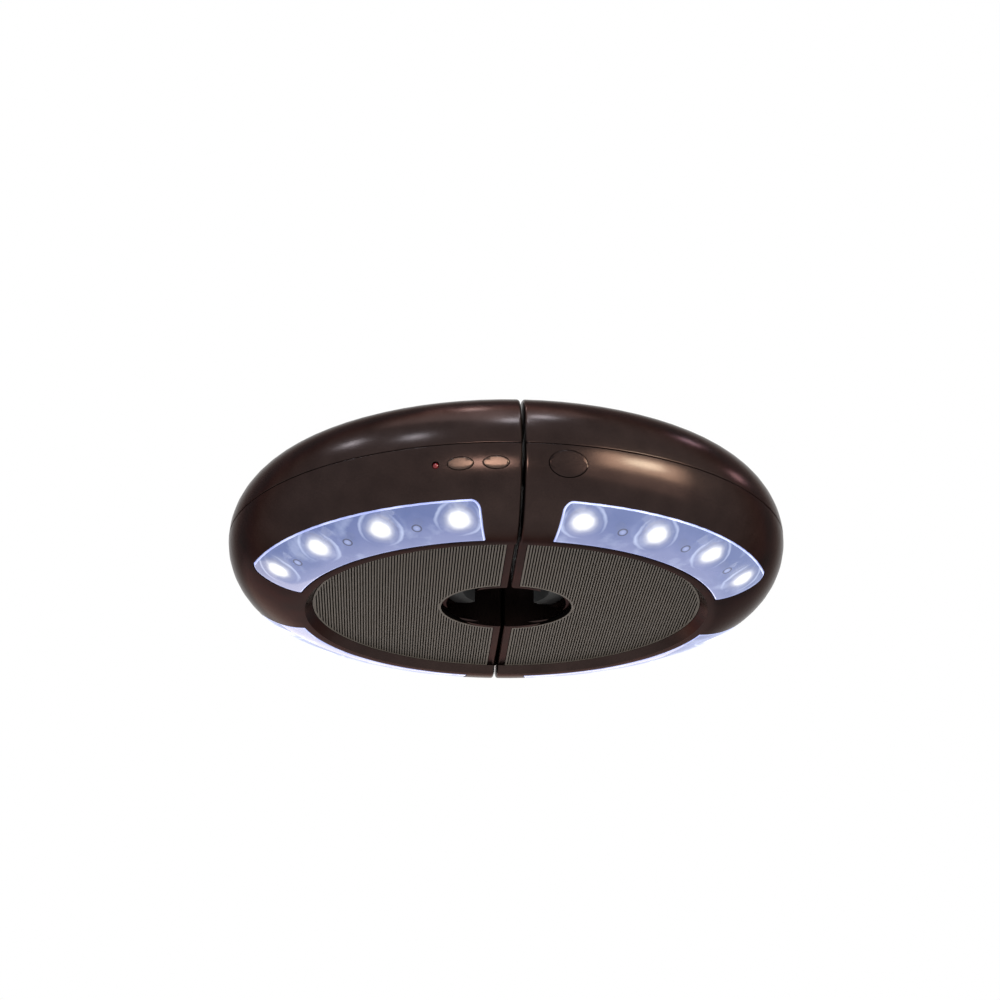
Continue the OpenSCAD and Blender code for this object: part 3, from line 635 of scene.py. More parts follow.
class Graph:
    """Node tree of one material with its Principled shader."""

    def __init__(self, name: str) -> None:
        """Makes an empty material.

        Args:
            name: Name of the material.
        """
        self.material = bpy.data.materials.new(name)
        self.material.use_nodes = True
        self.nodes = self.material.node_tree.nodes
        self.links = self.material.node_tree.links
        self.shader = self.nodes["Principled BSDF"]
        self.place = self.nodes.new("ShaderNodeTexCoord").outputs["Object"]

    def feed(self, source: object, socket: Socket) -> None:
        """Sets a socket to a number or links it to another.

        Args:
            source: A number, a colour or an output socket.
            socket: The input socket.
        """
        if isinstance(source, Socket):
            self.links.new(source, socket)
        elif isinstance(source, tuple) and socket.type == "RGBA":
            socket.default_value = (*source, 1.0)
        elif source is not None:
            socket.default_value = source

    def surface(self, **values: object) -> None:
        """Sets sockets of the shader by their names in lower case.

        Args:
            **values: Numbers, colours or output sockets.
        """
        for name, value in values.items():
            self.feed(value, self.shader.inputs[SOCKETS.get(name, name.replace("_", " ").title())])

    def noise(self, scale: float, detail: float = 3) -> Socket:
        """Noise over the piece.

        Args:
            scale: Number of waves in a metre.
            detail: Octaves.

        Returns:
            The factor's socket.
        """
        node = self.nodes.new("ShaderNodeTexNoise")
        node.inputs["Scale"].default_value = scale
        node.inputs["Detail"].default_value = detail
        self.links.new(self.place, node.inputs["Vector"])
        return node.outputs["Fac"]

    def maths(self, operation: str, a: object, b: object = None, c: object = None) -> Socket:
        """One step of arithmetic.

        Args:
            operation: Name of the operation.
            a: First number or socket.
            b: Second one.
            c: Third one.

        Returns:
            The result's socket.
        """
        node = self.nodes.new("ShaderNodeMath")
        node.operation = operation
        for socket, value in zip(node.inputs, (a, b, c)):
            self.feed(value, socket)
        return node.outputs[0]

    def clamped(self, value: Socket) -> Socket:
        """Keeps a value between 0 and 1.

        Args:
            value: The value's socket.

        Returns:
            The clamped value's socket.
        """
        node = self.nodes.new("ShaderNodeClamp")
        self.links.new(value, node.inputs["Value"])
        return node.outputs[0]

    def axes(self) -> tuple[Socket, ...]:
        """The three coordinates of the place, in metres.

        Returns:
            Their sockets.
        """
        node = self.nodes.new("ShaderNodeSeparateXYZ")
        self.links.new(self.place, node.inputs[0])
        return tuple(node.outputs)

    def radius(self) -> Socket:
        """Distance from the ring's axis, in metres.

        Returns:
            The distance's socket.
        """
        x, y, _ = self.axes()
        square = self.maths("ADD", self.maths("MULTIPLY", x, x), self.maths("MULTIPLY", y, y))
        return self.maths("SQRT", square)

    def ramp(self, factor: Socket, stops: Stops) -> Socket:
        """Colours along a factor.

        Args:
            factor: The factor's socket.
            stops: Position and colour of each stop.

        Returns:
            The colour's socket.
        """
        node = self.nodes.new("ShaderNodeValToRGB")
        elements = node.color_ramp.elements
        while len(elements) < len(stops):
            elements.new(0.5)
        for element, (position, colour) in zip(elements, stops):
            element.position = position
            element.color = (*colour, 1)
        self.links.new(factor, node.inputs[0])
        return node.outputs["Color"]

    def blend(self, factor: object, first: object, second: object) -> Socket:
        """Mixes two colours.

        Args:
            factor: Share of the second one.
            first: First colour or socket.
            second: Second one.

        Returns:
            The mixed colour's socket.
        """
        node = self.nodes.new("ShaderNodeMix")
        node.data_type = "RGBA"
        for index, value in ((0, factor), (6, first), (7, second)):
            self.feed(value, node.inputs[index])
        return node.outputs[2]

    def spread(self, factor: Socket, low: float, high: float) -> Socket:
        """Maps a factor of 0.3 to 0.7 to a range.

        Args:
            factor: The factor's socket.
            low: Value at 0.3.
            high: Value at 0.7.

        Returns:
            The value's socket.
        """
        node = self.nodes.new("ShaderNodeMapRange")
        node.inputs["From Min"].default_value, node.inputs["From Max"].default_value = 0.3, 0.7
        node.inputs["To Min"].default_value, node.inputs["To Max"].default_value = low, high
        self.links.new(factor, node.inputs["Value"])
        return node.outputs["Result"]

    def bump(self, height: Socket, strength: float, depth: float) -> None:
        """Roughens the surface's normals.

        Args:
            height: Height's socket.
            strength: Share of the bump.
            depth: Depth of the bump, in millimetres.
        """
        node = self.nodes.new("ShaderNodeBump")
        node.inputs["Strength"].default_value = strength
        node.inputs["Distance"].default_value = depth * MM
        self.links.new(height, node.inputs["Height"])
        self.links.new(node.outputs[0], self.shader.inputs["Normal"])


@dataclass(frozen=True)
class SpotRow:
    """A row of places along the lens strips, each on a line that stands square on the underside."""

    r: float
    first: float
    pitch: float = 18.0

    def azimuths(self, count: int) -> list[float]:
        """Angles of the first places from the seam, in degrees."""
        return [self.first + self.pitch * i for i in range(count)]

    def distance(self, graph: Graph, reach: float, shift: Pair = (0, 0)) -> Socket:
        """Distance from the line of the nearest place.

        Args:
            graph: The material's graph.
            reach: Distance that counts as 1, in millimetres.
            shift: How far the line is moved outward and along the strip, in millimetres.

        Returns:
            The distance's socket.
        """
        centre, radius = OUTLINE.under_curve(self.r)
        lean = math.asin((self.r - centre[0]) / radius)
        x, y, z = graph.axes()
        far = graph.radius()
        azimuth = graph.maths("ARCTAN2", graph.maths("ABSOLUTE", x), graph.maths("ABSOLUTE", y))
        half = math.radians(self.pitch / 2)
        turn = graph.maths("WRAP", graph.maths("SUBTRACT", azimuth, math.radians(self.first)), half, -half)
        aside = graph.maths("SUBTRACT", graph.maths("MULTIPLY", turn, far), shift[1] * MM)
        out = graph.maths("MULTIPLY", graph.maths("SUBTRACT", far, self.r * MM), math.cos(lean))
        up = graph.maths("MULTIPLY", graph.maths("SUBTRACT", z, OUTLINE.under_z(self.r) * MM), math.sin(lean))
        off = graph.maths("SUBTRACT", graph.maths("ADD", out, up), shift[0] * MM)
        square = graph.maths("ADD", graph.maths("MULTIPLY", off, off), graph.maths("MULTIPLY", aside, aside))
        return graph.maths("DIVIDE", graph.maths("SQRT", square), reach * MM)


LED_ROW = SpotRow(107.0, 13.5)
PIN_ROW = SpotRow(105.0, 23.22)


@dataclass(frozen=True)
class Finish:
    """A moulded, painted or plated finish with fine variation of its colour and roughness."""

    name: str
    dark: Colour
    light: Colour
    rough: Pair = (0.4, 0.5)
    metallic: float = 0.0
    grain: float = 900.0
    relief: float = 0.02
    coat: float = 0.0
    specular: float = 0.5
    edge_tint: Colour = grey(1.0)

    def material(self) -> bpy.types.Material:
        """The material, which is made when it is first asked for."""
        found = bpy.data.materials.get(self.name)
        return found or self.make().material

    def make(self) -> Graph:
        """Builds the material's nodes.

        Returns:
            The graph.
        """
        graph = Graph(self.name)
        fine = graph.noise(self.grain, 4)
        broad = graph.noise(self.grain / 30, 2)
        both = graph.maths("ADD", graph.maths("MULTIPLY", fine, 0.6), graph.maths("MULTIPLY", broad, 0.4))
        graph.surface(
            base_color=graph.ramp(both, [(0.36, self.dark), (0.64, self.light)]),
            roughness=graph.spread(both, *self.rough),
            metallic=self.metallic,
            coat=self.coat,
            specular=self.specular,
            edge_tint=self.edge_tint,
        )
        graph.bump(fine, 0.5, self.relief)
        return graph


@dataclass(frozen=True)
class GrooveShadedRibFinish(Finish):
    """Brown satin plastic with shade painted into its grooves: they darken to nearly black and lose their
    shine.
    """

    crest_z: float = OUTLINE.recess_z
    groove_z: float = 3.6
    # Painted shade: the colour that the grooves darken to, which stands for the shade that falls in them.
    groove: Colour = (0.004, 0.0035, 0.0035)

    def make(self) -> Graph:
        """Builds the material with shade painted into its grooves.

        Returns:
            The graph.
        """
        graph = super().make()
        # Share of the painted groove shade, from 0 on the crests to 1 at the bottoms of the grooves.
        above = graph.maths("SUBTRACT", graph.axes()[2], self.crest_z * MM)
        share = graph.clamped(graph.maths("DIVIDE", above, (self.groove_z - self.crest_z) * MM))
        brown = graph.shader.inputs["Base Color"].links[0].from_socket
        # The painted shade darkens the grooves and takes away their shine.
        graph.surface(
            base_color=graph.blend(share, brown, self.groove),
            specular=graph.maths("MULTIPLY", graph.maths("SUBTRACT", 1.0, share), self.specular),
        )
        return graph


@dataclass(frozen=True)
class FloorFinish(Finish):
    """Pale floor that looks white to the eye and in reflections, and keeps the lamp's shadow."""

    lift: float = 0.5

    def make(self) -> Graph:
        """Builds the material with its lift.

        Returns:
            The graph.
        """
        graph = super().make()
        path = graph.nodes.new("ShaderNodeLightPath").outputs
        seen = graph.maths("MAXIMUM", path["Is Camera Ray"], path["Is Glossy Ray"])
        seen = graph.maths("MAXIMUM", seen, path["Is Transmission Ray"])
        graph.surface(emission_color=grey(1.0), emission_strength=graph.maths("MULTIPLY", seen, self.lift))
        return graph


@dataclass(frozen=True)
class ReflectorFinish(Finish):
    """Metallised cups with a painted glow round their diodes: emission that stands for the diodes' light on
    the cups.
    """

    # Reach and strength of the painted glow.
    reach: float = 12.0
    strength: float = 0.8

    def make(self) -> Graph:
        """Builds the material with its painted glow.

        Returns:
            The graph.
        """
        graph = super().make()
        # Painted light: white round each diode, fading to blue further out.
        glow = graph.ramp(LED_ROW.distance(graph, self.reach), [
            (0.0, (0.90, 0.94, 1.0)),
            (0.5, (0.24, 0.29, 0.52)),
            (1.0, (0.12, 0.15, 0.32)),
        ])
        graph.surface(emission_color=glow, emission_strength=self.strength)
        return graph


@dataclass(frozen=True)
class LensFinish:
    """Clear plastic with the light of the diodes close behind it painted on as emission: a lit fill, a glow
    round each diode, painted gleams and shade in the cups, and a lit ring at each pin.
    """

    name: str = "clear_lens"
    # Painted light: near and far colour the lit fill across the strip, core is the glow of each diode, gleam
    # the painted reflections in the cups and the streaks, and shade the painted shade in the cups.
    near: Colour = (0.18, 0.21, 0.42)
    far: Colour = (0.060, 0.100, 0.28)
    core: Colour = grey(1.0)
    gleam: Colour = (0.66, 0.75, 1.0)
    shade: Colour = (0.055, 0.075, 0.22)
    body: Colour = (0.08, 0.09, 0.14)
    inner_r: float = OUTLINE.strip_inner_r
    width: float = OUTLINE.strip_outer_r - OUTLINE.strip_inner_r
    # Sizes of the painted glow, of the cups whose gleams and shade are painted, and of the lit pins.
    glow_r: float = 10.5
    cup_r: float = 9.6
    cup_end: float = 1.04
    cup_rise: float = 9.0
    gleam_shifts: tuple[Pair, ...] = ((1.4, 2.6), (-1.6, -2.2))
    gleam_start: float = 1.10
    gleam_rise: float = 6.0
    gleam_share: float = 0.8
    shade_shift: Pair = (-1.6, 2.2)
    shade_size: float = 0.80
    pin_r: float = 2.3
    flow_waves: float = 60
    ripple_waves: float = 170
    streak_waves: float = 95
    sway: float = 1.6
    wobble: float = 0.20
    opacity: float = 0.86

    def material(self) -> bpy.types.Material:
        """The material, which is made when it is first asked for."""
        found = bpy.data.materials.get(self.name)
        return found or self.make().material

    def crescent(self, graph: Graph, r: float, shift: Pair, wobble: object) -> Socket:
        """Share of a crescent round each diode, which masks the painted gleams and the painted shade in the
        cups: inside one circle and outside another that is moved aside.

        Args:
            graph: The material's graph.
            r: Radius of both circles, in millimetres.
            shift: How far the second one is moved, outward and along the strip.
            wobble: What disturbs both.

        Returns:
            The share's socket.
        """
        first = graph.maths("ADD", LED_ROW.distance(graph, r), wobble)
        second = graph.maths("ADD", LED_ROW.distance(graph, r, shift), wobble)
        room = graph.maths("SUBTRACT", self.cup_end, first)
        over = graph.maths("SUBTRACT", second, self.gleam_start)
        inside = graph.clamped(graph.maths("MULTIPLY", room, self.cup_rise))
        outside = graph.clamped(graph.maths("MULTIPLY", over, self.gleam_rise))
        return graph.maths("MULTIPLY", inside, outside)

    def make(self) -> Graph:
        """Builds the painted light: the lit fill, the glow of each diode, the gleams and shade in the cups,
        and the lit ring of each pin.

        Returns:
            The graph.
        """
        graph = Graph(self.name)
        flow, ripple = graph.noise(self.flow_waves, 3), graph.noise(self.ripple_waves, 2)
        beyond = graph.maths("SUBTRACT", graph.radius(), self.inner_r * MM)
        across = graph.maths("DIVIDE", beyond, self.width * MM)
        sway = graph.maths("MULTIPLY", graph.maths("SUBTRACT", flow, 0.5), self.sway)
        # Painted light of the fill, brighter near the inner edge of the strip.
        colour = graph.ramp(graph.maths("ADD", across, sway), [(0.1, self.near), (0.95, self.far)])
        # Painted gleam: streaks of light across the fill.
        gleam_streaks = graph.ramp(graph.noise(self.streak_waves, 4), [(0.54, grey(0.0)), (0.72, grey(0.30))])
        colour = graph.blend(gleam_streaks, colour, self.gleam)
        wobble = graph.maths("MULTIPLY", graph.maths("SUBTRACT", ripple, 0.5), self.wobble)
        # Painted shade: a dark crescent in each cup beside the diode.
        shaded = self.crescent(graph, self.cup_r * self.shade_size, self.shade_shift, wobble)
        colour = graph.blend(shaded, colour, self.shade)
        # Painted reflections: two gleaming crescents in each cup.
        for shift in self.gleam_shifts:
            gleam = graph.maths("MULTIPLY", self.crescent(graph, self.cup_r, shift, wobble), self.gleam_share)
            colour = graph.blend(gleam, colour, self.gleam)
        # Painted glow round each diode, white at its core.
        away = graph.maths("ADD", LED_ROW.distance(graph, self.glow_r), wobble)
        halo = graph.ramp(away, [
            (0.36, grey(1.0)),
            (0.48, grey(0.40)),
            (0.60, grey(0.12)),
            (0.82, grey(0.0)),
        ])
        colour = graph.blend(halo, colour, self.core)
        # Painted light of each screw post seen through the lens: bluish in the middle, going dark at its edge.
        pin = PIN_ROW.distance(graph, self.pin_r)
        ring = graph.ramp(pin, [
            (0.0, (0.36, 0.42, 0.68)),
            (0.55, (0.22, 0.27, 0.52)),
            (0.75, (0.006, 0.010, 0.04)),
        ])
        close = graph.ramp(pin, [(0.92, grey(1.0)), (1.0, grey(0.0))])
        # All of this painted light is given out as emission.
        graph.surface(
            base_color=self.body,
            roughness=graph.spread(flow, 0.04, 0.10),
            emission_color=graph.blend(close, colour, ring),
            emission_strength=1.0,
            alpha=self.opacity,
            ior=1.49,
        )
        return graph


@dataclass(frozen=True)
class GlowFinish:
    """A surface that is lit from inside."""

    name: str
    colour: Colour
    edge: Colour
    strength: float = 1.0
    scale: float = 120.0

    def material(self) -> bpy.types.Material:
        """The material, which is made when it is first asked for."""
        found = bpy.data.materials.get(self.name)
        return found or self.make().material

    def make(self) -> Graph:
        """Builds the material's nodes.

        Returns:
            The graph.
        """
        graph = Graph(self.name)
        flow = graph.noise(self.scale, 2)
        colour = graph.ramp(flow, [(0.35, self.edge), (0.65, self.colour)])
        graph.surface(
            base_color=colour,
            roughness=graph.spread(flow, 0.08, 0.2),
            emission_color=colour,
            emission_strength=self.strength,
        )
        return graph


SATIN_EDGE = (0.38, 0.35, 0.34)
SHELL = Finish(
    "bronze_shell", (0.024, 0.016, 0.015), (0.038, 0.025, 0.023), (0.19, 0.25), 0.92, 2600, 0.002,
    specular=0.3, edge_tint=SATIN_EDGE,
)
BUTTON = Finish(
    "bronze_button", (0.066, 0.044, 0.037), (0.078, 0.053, 0.045), (0.26, 0.32), 0.9, 2600, 0.0012,
    specular=0.3, edge_tint=SATIN_EDGE,
)
# Base plate brown, with shade painted into the grooves of its ribs.
RIBBED = GrooveShadedRibFinish(
    "brown_ribs", (0.095, 0.080, 0.068), (0.140, 0.118, 0.102), (0.5, 0.6), 0.0, 700, 0.01, specular=0.08
)
# Reflector cups, with the diodes' light painted on them as a glow.
REFLECTOR = ReflectorFinish(
    "lit_reflector", (0.50, 0.54, 0.75), (0.68, 0.72, 0.92), (0.12, 0.25), 0.9, 200, 0.01
)
# Clear lens with the light of the diodes painted on it.
LENS = LensFinish()
# Painted light: the lens edges glow with emission that stands for the diodes' light caught at them.
LIT_EDGE = GlowFinish("lit_lens_edge", (0.44, 0.49, 0.78), (0.26, 0.31, 0.62), 1.0, 90)
DIODE = GlowFinish("lit_diode", grey(1.0), (0.92, 0.96, 1.0), 4.0)
INDICATOR = GlowFinish("red_indicator", (0.16, 0.006, 0.010), (0.05, 0.003, 0.005), 0.1, 700)
BOARD = Finish("green_board", (0.010, 0.050, 0.022), (0.020, 0.085, 0.040), (0.25, 0.4), 0.0, 500, 0.01)
STEEL = Finish("zinc_steel", (0.42, 0.42, 0.45), (0.62, 0.62, 0.64), (0.22, 0.36), 1.0, 1200, 0.006)
BLACK = Finish("moulded_black", (0.012, 0.012, 0.013), (0.026, 0.025, 0.026), (0.42, 0.55), 0.0, 900, 0.02)
RUBBER = Finish("matt_rubber", (0.010, 0.010, 0.010), (0.022, 0.021, 0.021), (0.65, 0.8), 0.0, 1500, 0.03)
CELL = Finish("wrapped_cell", (0.06, 0.11, 0.26), (0.09, 0.16, 0.34), (0.28, 0.36), 0.0, 400, 0.01, 0.3)


def dress(piece: bpy.types.Object, *finishes: object) -> None:
    """Gives a piece its materials.

    Args:
        piece: The piece.
        *finishes: Its finishes, the first for its main surface.
    """
    piece.data.materials.clear()
    for finish in finishes:
        piece.data.materials.append(finish.material())


def seat(piece: bpy.types.Object, body: str, replaced: Sequence[str] = ()) -> None:
    """Makes a finished piece ride on its body.

    Args:
        piece: The piece.
        body: CAD body that carries it.
        replaced: CAD nodes that it stands for.
    """
    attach(piece, body)
    if replaced:
        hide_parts(*replaced)
    log.info("%s: %d faces on %s", piece.name, len(piece.data.polygons), body)


# ------------------------------------------------------------------ shells


@dataclass
class HalfShells:
    """Lower shell and top cover of each half, cut from one revolved blank."""

    seam_x: float = 0.6
    wall: float = 2.4
    seam_round: float = 1.2
    parting_round: float = 0.35
    skirt_t: float = 1.2
    skirt_fit: float = 0.2
    skirt_gap: float = 0.3
    steps: int = 40
    floor_z: float = 8.2
    ring_r: float = 90.8
    collar_r: float = 28.6
    plate_top: float = 5.5
    border_x: float = 4.0
    hinge_y: float = OUTLINE.hinge_y
    pocket_r: float = 7.0
    pocket_wall: float = 2.4
    relief: float = 36.0
    relief_reach: float = 20.0
    plate_below: float = 1.5
    zone_past: float = 5.0
    jaw_window: Box = ((8.0, -16.4, 10.4), (37.0, 16.4, 33.2))

    def blank(self) -> bpy.types.Object:
        """The right half ring as a solid with a rounded seam.

        Returns:
            The blank.
        """
        o = OUTLINE
        curve = o.outside(groove=self.parting_round)
        profile = [(o.recess_r, o.recess_z), (o.rim_r, 0.0), *curve, (o.bore_r, o.recess_z)]
        piece = spun("ring_blank", profile, 0, 180, self.steps)
        trim(piece, self.seam_x)
        seam = self.seam_x * MM
        soften(
            piece,
            lambda edge: all(abs(v.co.x - seam) < CLOSE for v in edge.verts) and len(edge.link_faces) == 2,
            self.seam_round,
        )
        return piece

    def hollow(self) -> bpy.types.Object:
        """The space inside a half, which leaves the walls, the floor and the wall of the hinge pocket.

        Returns:
            The solid that is cut away.
        """
        o = OUTLINE
        inside = o.outside(self.wall)
        drop = math.sqrt((o.under_r - self.wall) ** 2 - (self.ring_r - o.under[0]) ** 2)
        inside[0] = (self.ring_r, o.under[1] - drop)
        profile = [(o.bore_r + self.wall, self.floor_z), (self.ring_r, self.floor_z), *inside]
        piece = spun("hollow", profile, 0, 180, self.steps)
        trim(piece, self.seam_x + self.wall)
        pillar = rod("pillar", self.pocket_r + self.pocket_wall, -PAST, o.lamp_h + PAST)
        cut(piece, place(pillar, Matrix.Translation((0, self.hinge_y * MM, 0))))
        return piece

    def cut_pocket(self, piece: bpy.types.Object) -> None:
        """Cuts the pocket of the hinge and the relief behind it.

        Args:
            piece: A shell of the right half.
        """
        pocket = rod("pocket", self.pocket_r, -PAST, OUTLINE.lamp_h + PAST, 64)
        cut(piece, place(pocket, Matrix.Translation((0, self.hinge_y * MM, 0))))
        side = self.relief_reach * math.tan(math.radians(self.relief))
        behind = self.hinge_y + self.relief_reach
        plan = [(0, self.hinge_y), (side, behind), (-side, behind)]
        cut(piece, raised("relief", plan, -PAST, OUTLINE.lamp_h + PAST))

    def cut_plate_pocket(self, piece: bpy.types.Object) -> None:
        """Cuts the recess that the base plate lies in.

        Args:
            piece: The lower shell of the right half.
        """
        r0, r1 = self.collar_r, OUTLINE.recess_r
        z0, z1 = OUTLINE.recess_z - self.plate_below, self.plate_top
        tool = spun("plate_pocket", [(r0, z0), (r1, z0), (r1, z1), (r0, z1)], 0, 180, 60)
        trim(tool, self.border_x)
        cut(piece, tool)

    def upper_zone(self, depth: float, gap: float) -> bpy.types.Object:
        """What belongs to the top cover: all above the joint, and the skirt that laps over the lower shell.

        Args:
            depth: How far the skirt reaches into the wall.
            gap: How far above the parting line the skirt ends.

        Returns:
            The zone as a solid.
        """
        o = OUTLINE
        low = math.asin((o.parting_z + gap - o.belly[1]) / (o.belly_r - depth))
        high = math.asin((o.joint_z - o.belly[1]) / (o.belly_r - depth))
        skirt = o.arc(o.belly, o.belly_r - depth, low, high, 8)
        near, far, top = o.bore_r - self.zone_past, o.lamp_r + self.zone_past, o.lamp_h + self.zone_past
        profile = [(far, o.parting_z + gap), *skirt, (near, o.joint_z), (near, top), (far, top)]
        return spun("upper_zone", profile, -5, 190, 2 * self.steps)

    def split(self, blank: bpy.types.Object, name: str, upper: bool) -> bpy.types.Object:
        """Keeps one part of a blank, on one side of the stepped joint.

        Args:
            blank: The half ring.
            name: Name of the part.
            upper: Whether the top cover is kept.

        Returns:
            The part.
        """
        piece = copy(blank, name)
        half = self.skirt_gap / 2
        if upper:
            cut(piece, self.upper_zone(self.skirt_t, half), Cut.COMMON)
        else:
            cut(piece, self.upper_zone(self.skirt_t + self.skirt_fit, -half))
        return piece

    def build(self, strips: "LightStrips", controls: "Controls") -> None:
        """Builds the four shells.

        Args:
            strips: The light strips, which give the windows.
            controls: The buttons and the lamp, which give the holes.
        """
        blank, hollow = self.blank(), self.hollow()
        lower = self.split(blank, "right_lower_shell_body", False)
        cover = self.split(blank, "right_top_cover_body", True)
        for piece in (lower, cover):
            cut(piece, hollow, keep=True)
            self.cut_pocket(piece)
        for tool in (blank, hollow):
            bpy.data.objects.remove(tool)
        self.cut_plate_pocket(lower)
        for tool in strips.windows():
            cut(lower, tool)
        cut(lower, block("jaw_window", *self.jaw_window))
        left_lower = copy(lower, "left_lower_shell_body", (True, False, False))
        left_cover = copy(cover, "left_top_cover_body", (True, False, False))
        for side, piece in ((Side.LEFT, left_lower), (Side.RIGHT, lower)):
            for tool in controls.holes(side):
                cut(piece, tool)
            self.keep(piece, side, "lower_shell")
        for side, piece in ((Side.LEFT, left_cover), (Side.RIGHT, cover)):
            self.keep(piece, side, "top_cover")

    def keep(self, piece: bpy.types.Object, side: Side, node: str) -> None:
        """Shades, dresses and seats a finished shell.

        Args:
            piece: The shell.
            side: Its half.
            node: CAD node that it stands for, without the side.
        """
        smooth(piece, 28)
        OUTLINE.polish(piece)
        dress(piece, SHELL)
        seat(piece, side.body, [f"{side.label}_{node}"])


# ------------------------------------------------------------------ light strips


@dataclass
class LightStrips:
    """Clear lenses with lit edges, their screw posts, and what stands behind them."""

    inner_r: float = OUTLINE.strip_inner_r
    outer_r: float = OUTLINE.strip_outer_r
    start: float = 8.5
    sweep: float = 66.5
    corner: float = 3.5
    fit: float = 0.25
    top: float = 24.0
    thickness: float = 3.6
    edge: float = 0.7
    shortest: float = 0.12
    sheet_past: Pair = (3.0, 2.0)
    sheet_inset: float = 2.0
    sheet_lines: int = 9
    sheet_turn: float = 1.5
    rim_slack: float = 0.5
    wall_slope: float = 0.2
    post_count: int = 3
    post_r: float = 2.0
    post_depth: Pair = (2.4, 4.4)
    post_wall: float = 0.7
    post_hollow: float = 1.2

    def prism(self, name: str, grow: float) -> bpy.types.Object:
        """A strip as an upright prism with rounded outer corners.

        Args:
            name: Name of the piece.
            grow: How much larger it is all round.

        Returns:
            The prism, on the right half in front.
        """
        r0, r1, c = self.inner_r - grow, self.outer_r + grow, self.corner + grow
        turn = math.degrees(grow / ((self.inner_r + self.outer_r) / 2))
        first, last = self.start - turn, self.start + self.sweep + turn
        lean = math.degrees(math.asin(c / (r1 - c)))
        steps = 24

        def polar(r: float, angle: float) -> Pair:
            """X and Y of a point by its radius and its angle from the seam."""
            return r * math.sin(math.radians(angle)), -r * math.cos(math.radians(angle))

        def corner(angle: float, sign: int) -> Profile:
            """Arc that rounds an outer corner, from the end of the strip to its outer edge."""
            cx, cy = polar(r1 - c, angle + sign * lean)
            turns = [angle + sign * (lean - 90 + 15 * i) for i in range(7)]
            return [(cx + polar(c, t)[0], cy + polar(c, t)[1]) for t in turns]

        inner = [polar(r0, last + (first - last) * i / steps) for i in range(steps + 1)]
        outer = [polar(r1, first + lean + (last - first - 2 * lean) * i / steps) for i in range(1, steps)]
        plan = [*inner, *corner(first, 1), *outer, *corner(last, -1)[::-1]]
        return raised(name, plan, -1, self.top)

    def windows(self) -> list[bpy.types.Object]:
        """The openings of the lower shell, in front and at the rear."""
        front = self.prism("lens_window", self.fit)
        return [front, copy(front, "rear_lens_window", (False, True, False))]

    def layer(self) -> bpy.types.Object:
        """A curved sheet as thick as the lens, wider than the strip on all sides.

        Returns:
            The sheet, on the right half in front.
        """
        first, last = self.inner_r + self.sheet_inset, self.outer_r - self.sheet_inset
        pitch = (last - first) / (self.sheet_lines - 1)
        radii = [first + i * pitch for i in range(self.sheet_lines)]
        radii = [self.inner_r - self.sheet_past[0], *radii, self.outer_r + self.sheet_past[1]]
        outer, inner = [], []
        for r in radii:
            (cr, cz), radius = OUTLINE.under_curve(r)
            share = 1 - self.thickness / radius
            z = OUTLINE.under_z(r)
            outer.append((r, z))
            inner.append((cr + share * (r - cr), cz + share * (z - cz)))
        start, sweep = self.start - self.sheet_turn, self.sweep + 2 * self.sheet_turn
        return spun("lens_layer", outer + inner[::-1], start, sweep, 22)

    def posts(self) -> list[bpy.types.Object]:
        """Short hollow posts behind the lens that take its screws.

        Returns:
            The posts, on the right half in front.
        """
        made = []
        low, high = self.post_depth
        for angle in PIN_ROW.azimuths(self.post_count):
            post = rod("lens_post", self.post_r, low, high, 24)
            with shaping(post):
                choose(post, Element.FACE, lambda face: face.calc_center_median().z > high * MM - CLOSE)
                bpy.ops.mesh.inset(thickness=self.post_wall * MM)
                hollow = (0, 0, -self.post_hollow * MM)
                bpy.ops.mesh.extrude_region_move(TRANSFORM_OT_translate={"value": hollow})
            made.append(place(post, OUTLINE.under_frame(angle, PIN_ROW.r, Side.RIGHT, False)))
        return made

    def lens(self) -> bpy.types.Object:
        """The lens of the right half in front, with its lit edge in the second material.

        Returns:
            The lens.
        """
        piece = self.layer()
        cut(piece, self.prism("lens_outline", 0), Cut.COMMON)
        merge_close(piece, self.shortest)
        dress(piece, LENS, LIT_EDGE)
        with shaping(piece):
            choose(piece, Element.EDGE, self.is_rim)
            bpy.ops.mesh.bevel(
                offset=self.edge * MM, segments=2, affect="EDGES", clamp_overlap=False, material=1
            )
        return join("lens", [piece, *self.posts()])

    def is_rim(self, edge: bmesh.types.BMEdge) -> bool:
        """Whether an edge runs round the outside face of the lens.

        Args:
            edge: An edge of the lens.

        Returns:
            True on the rim.
        """
        if len(edge.link_faces) != 2:
            return False
        upright = [abs(face.normal.z) < self.wall_slope for face in edge.link_faces]
        if upright[0] == upright[1]:
            return False
        middle = (edge.verts[0].co + edge.verts[1].co) / 2
        return abs(middle.z / MM - OUTLINE.under_z(math.hypot(middle.x, middle.y) / MM)) < self.rim_slack

    def build(self) -> None:
        """Builds the four lenses and dresses what stands behind them."""
        front = self.lens()
        smooth(front, 35)
        for side in Side:
            for rear in (False, True):
                end = "rear" if rear else "front"
                name = f"{side.label}_{end}_lens_strip"
                piece = copy(front, name, (side is Side.LEFT, rear, False))
                OUTLINE.polish(piece, 20)
                seat(piece, side.body, [f"{side.label}_{end}_lens"])
                for node, finish in (("reflector", REFLECTOR), ("boards", BOARD), ("leds", DIODE)):
                    dress(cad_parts[f"{side.label}_{end}_{node}"], finish)
            dress(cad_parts[f"{side.label}_lens_screws"], STEEL)
        bpy.data.objects.remove(front)


# ------------------------------------------------------------------ buttons, indicator, latch windows


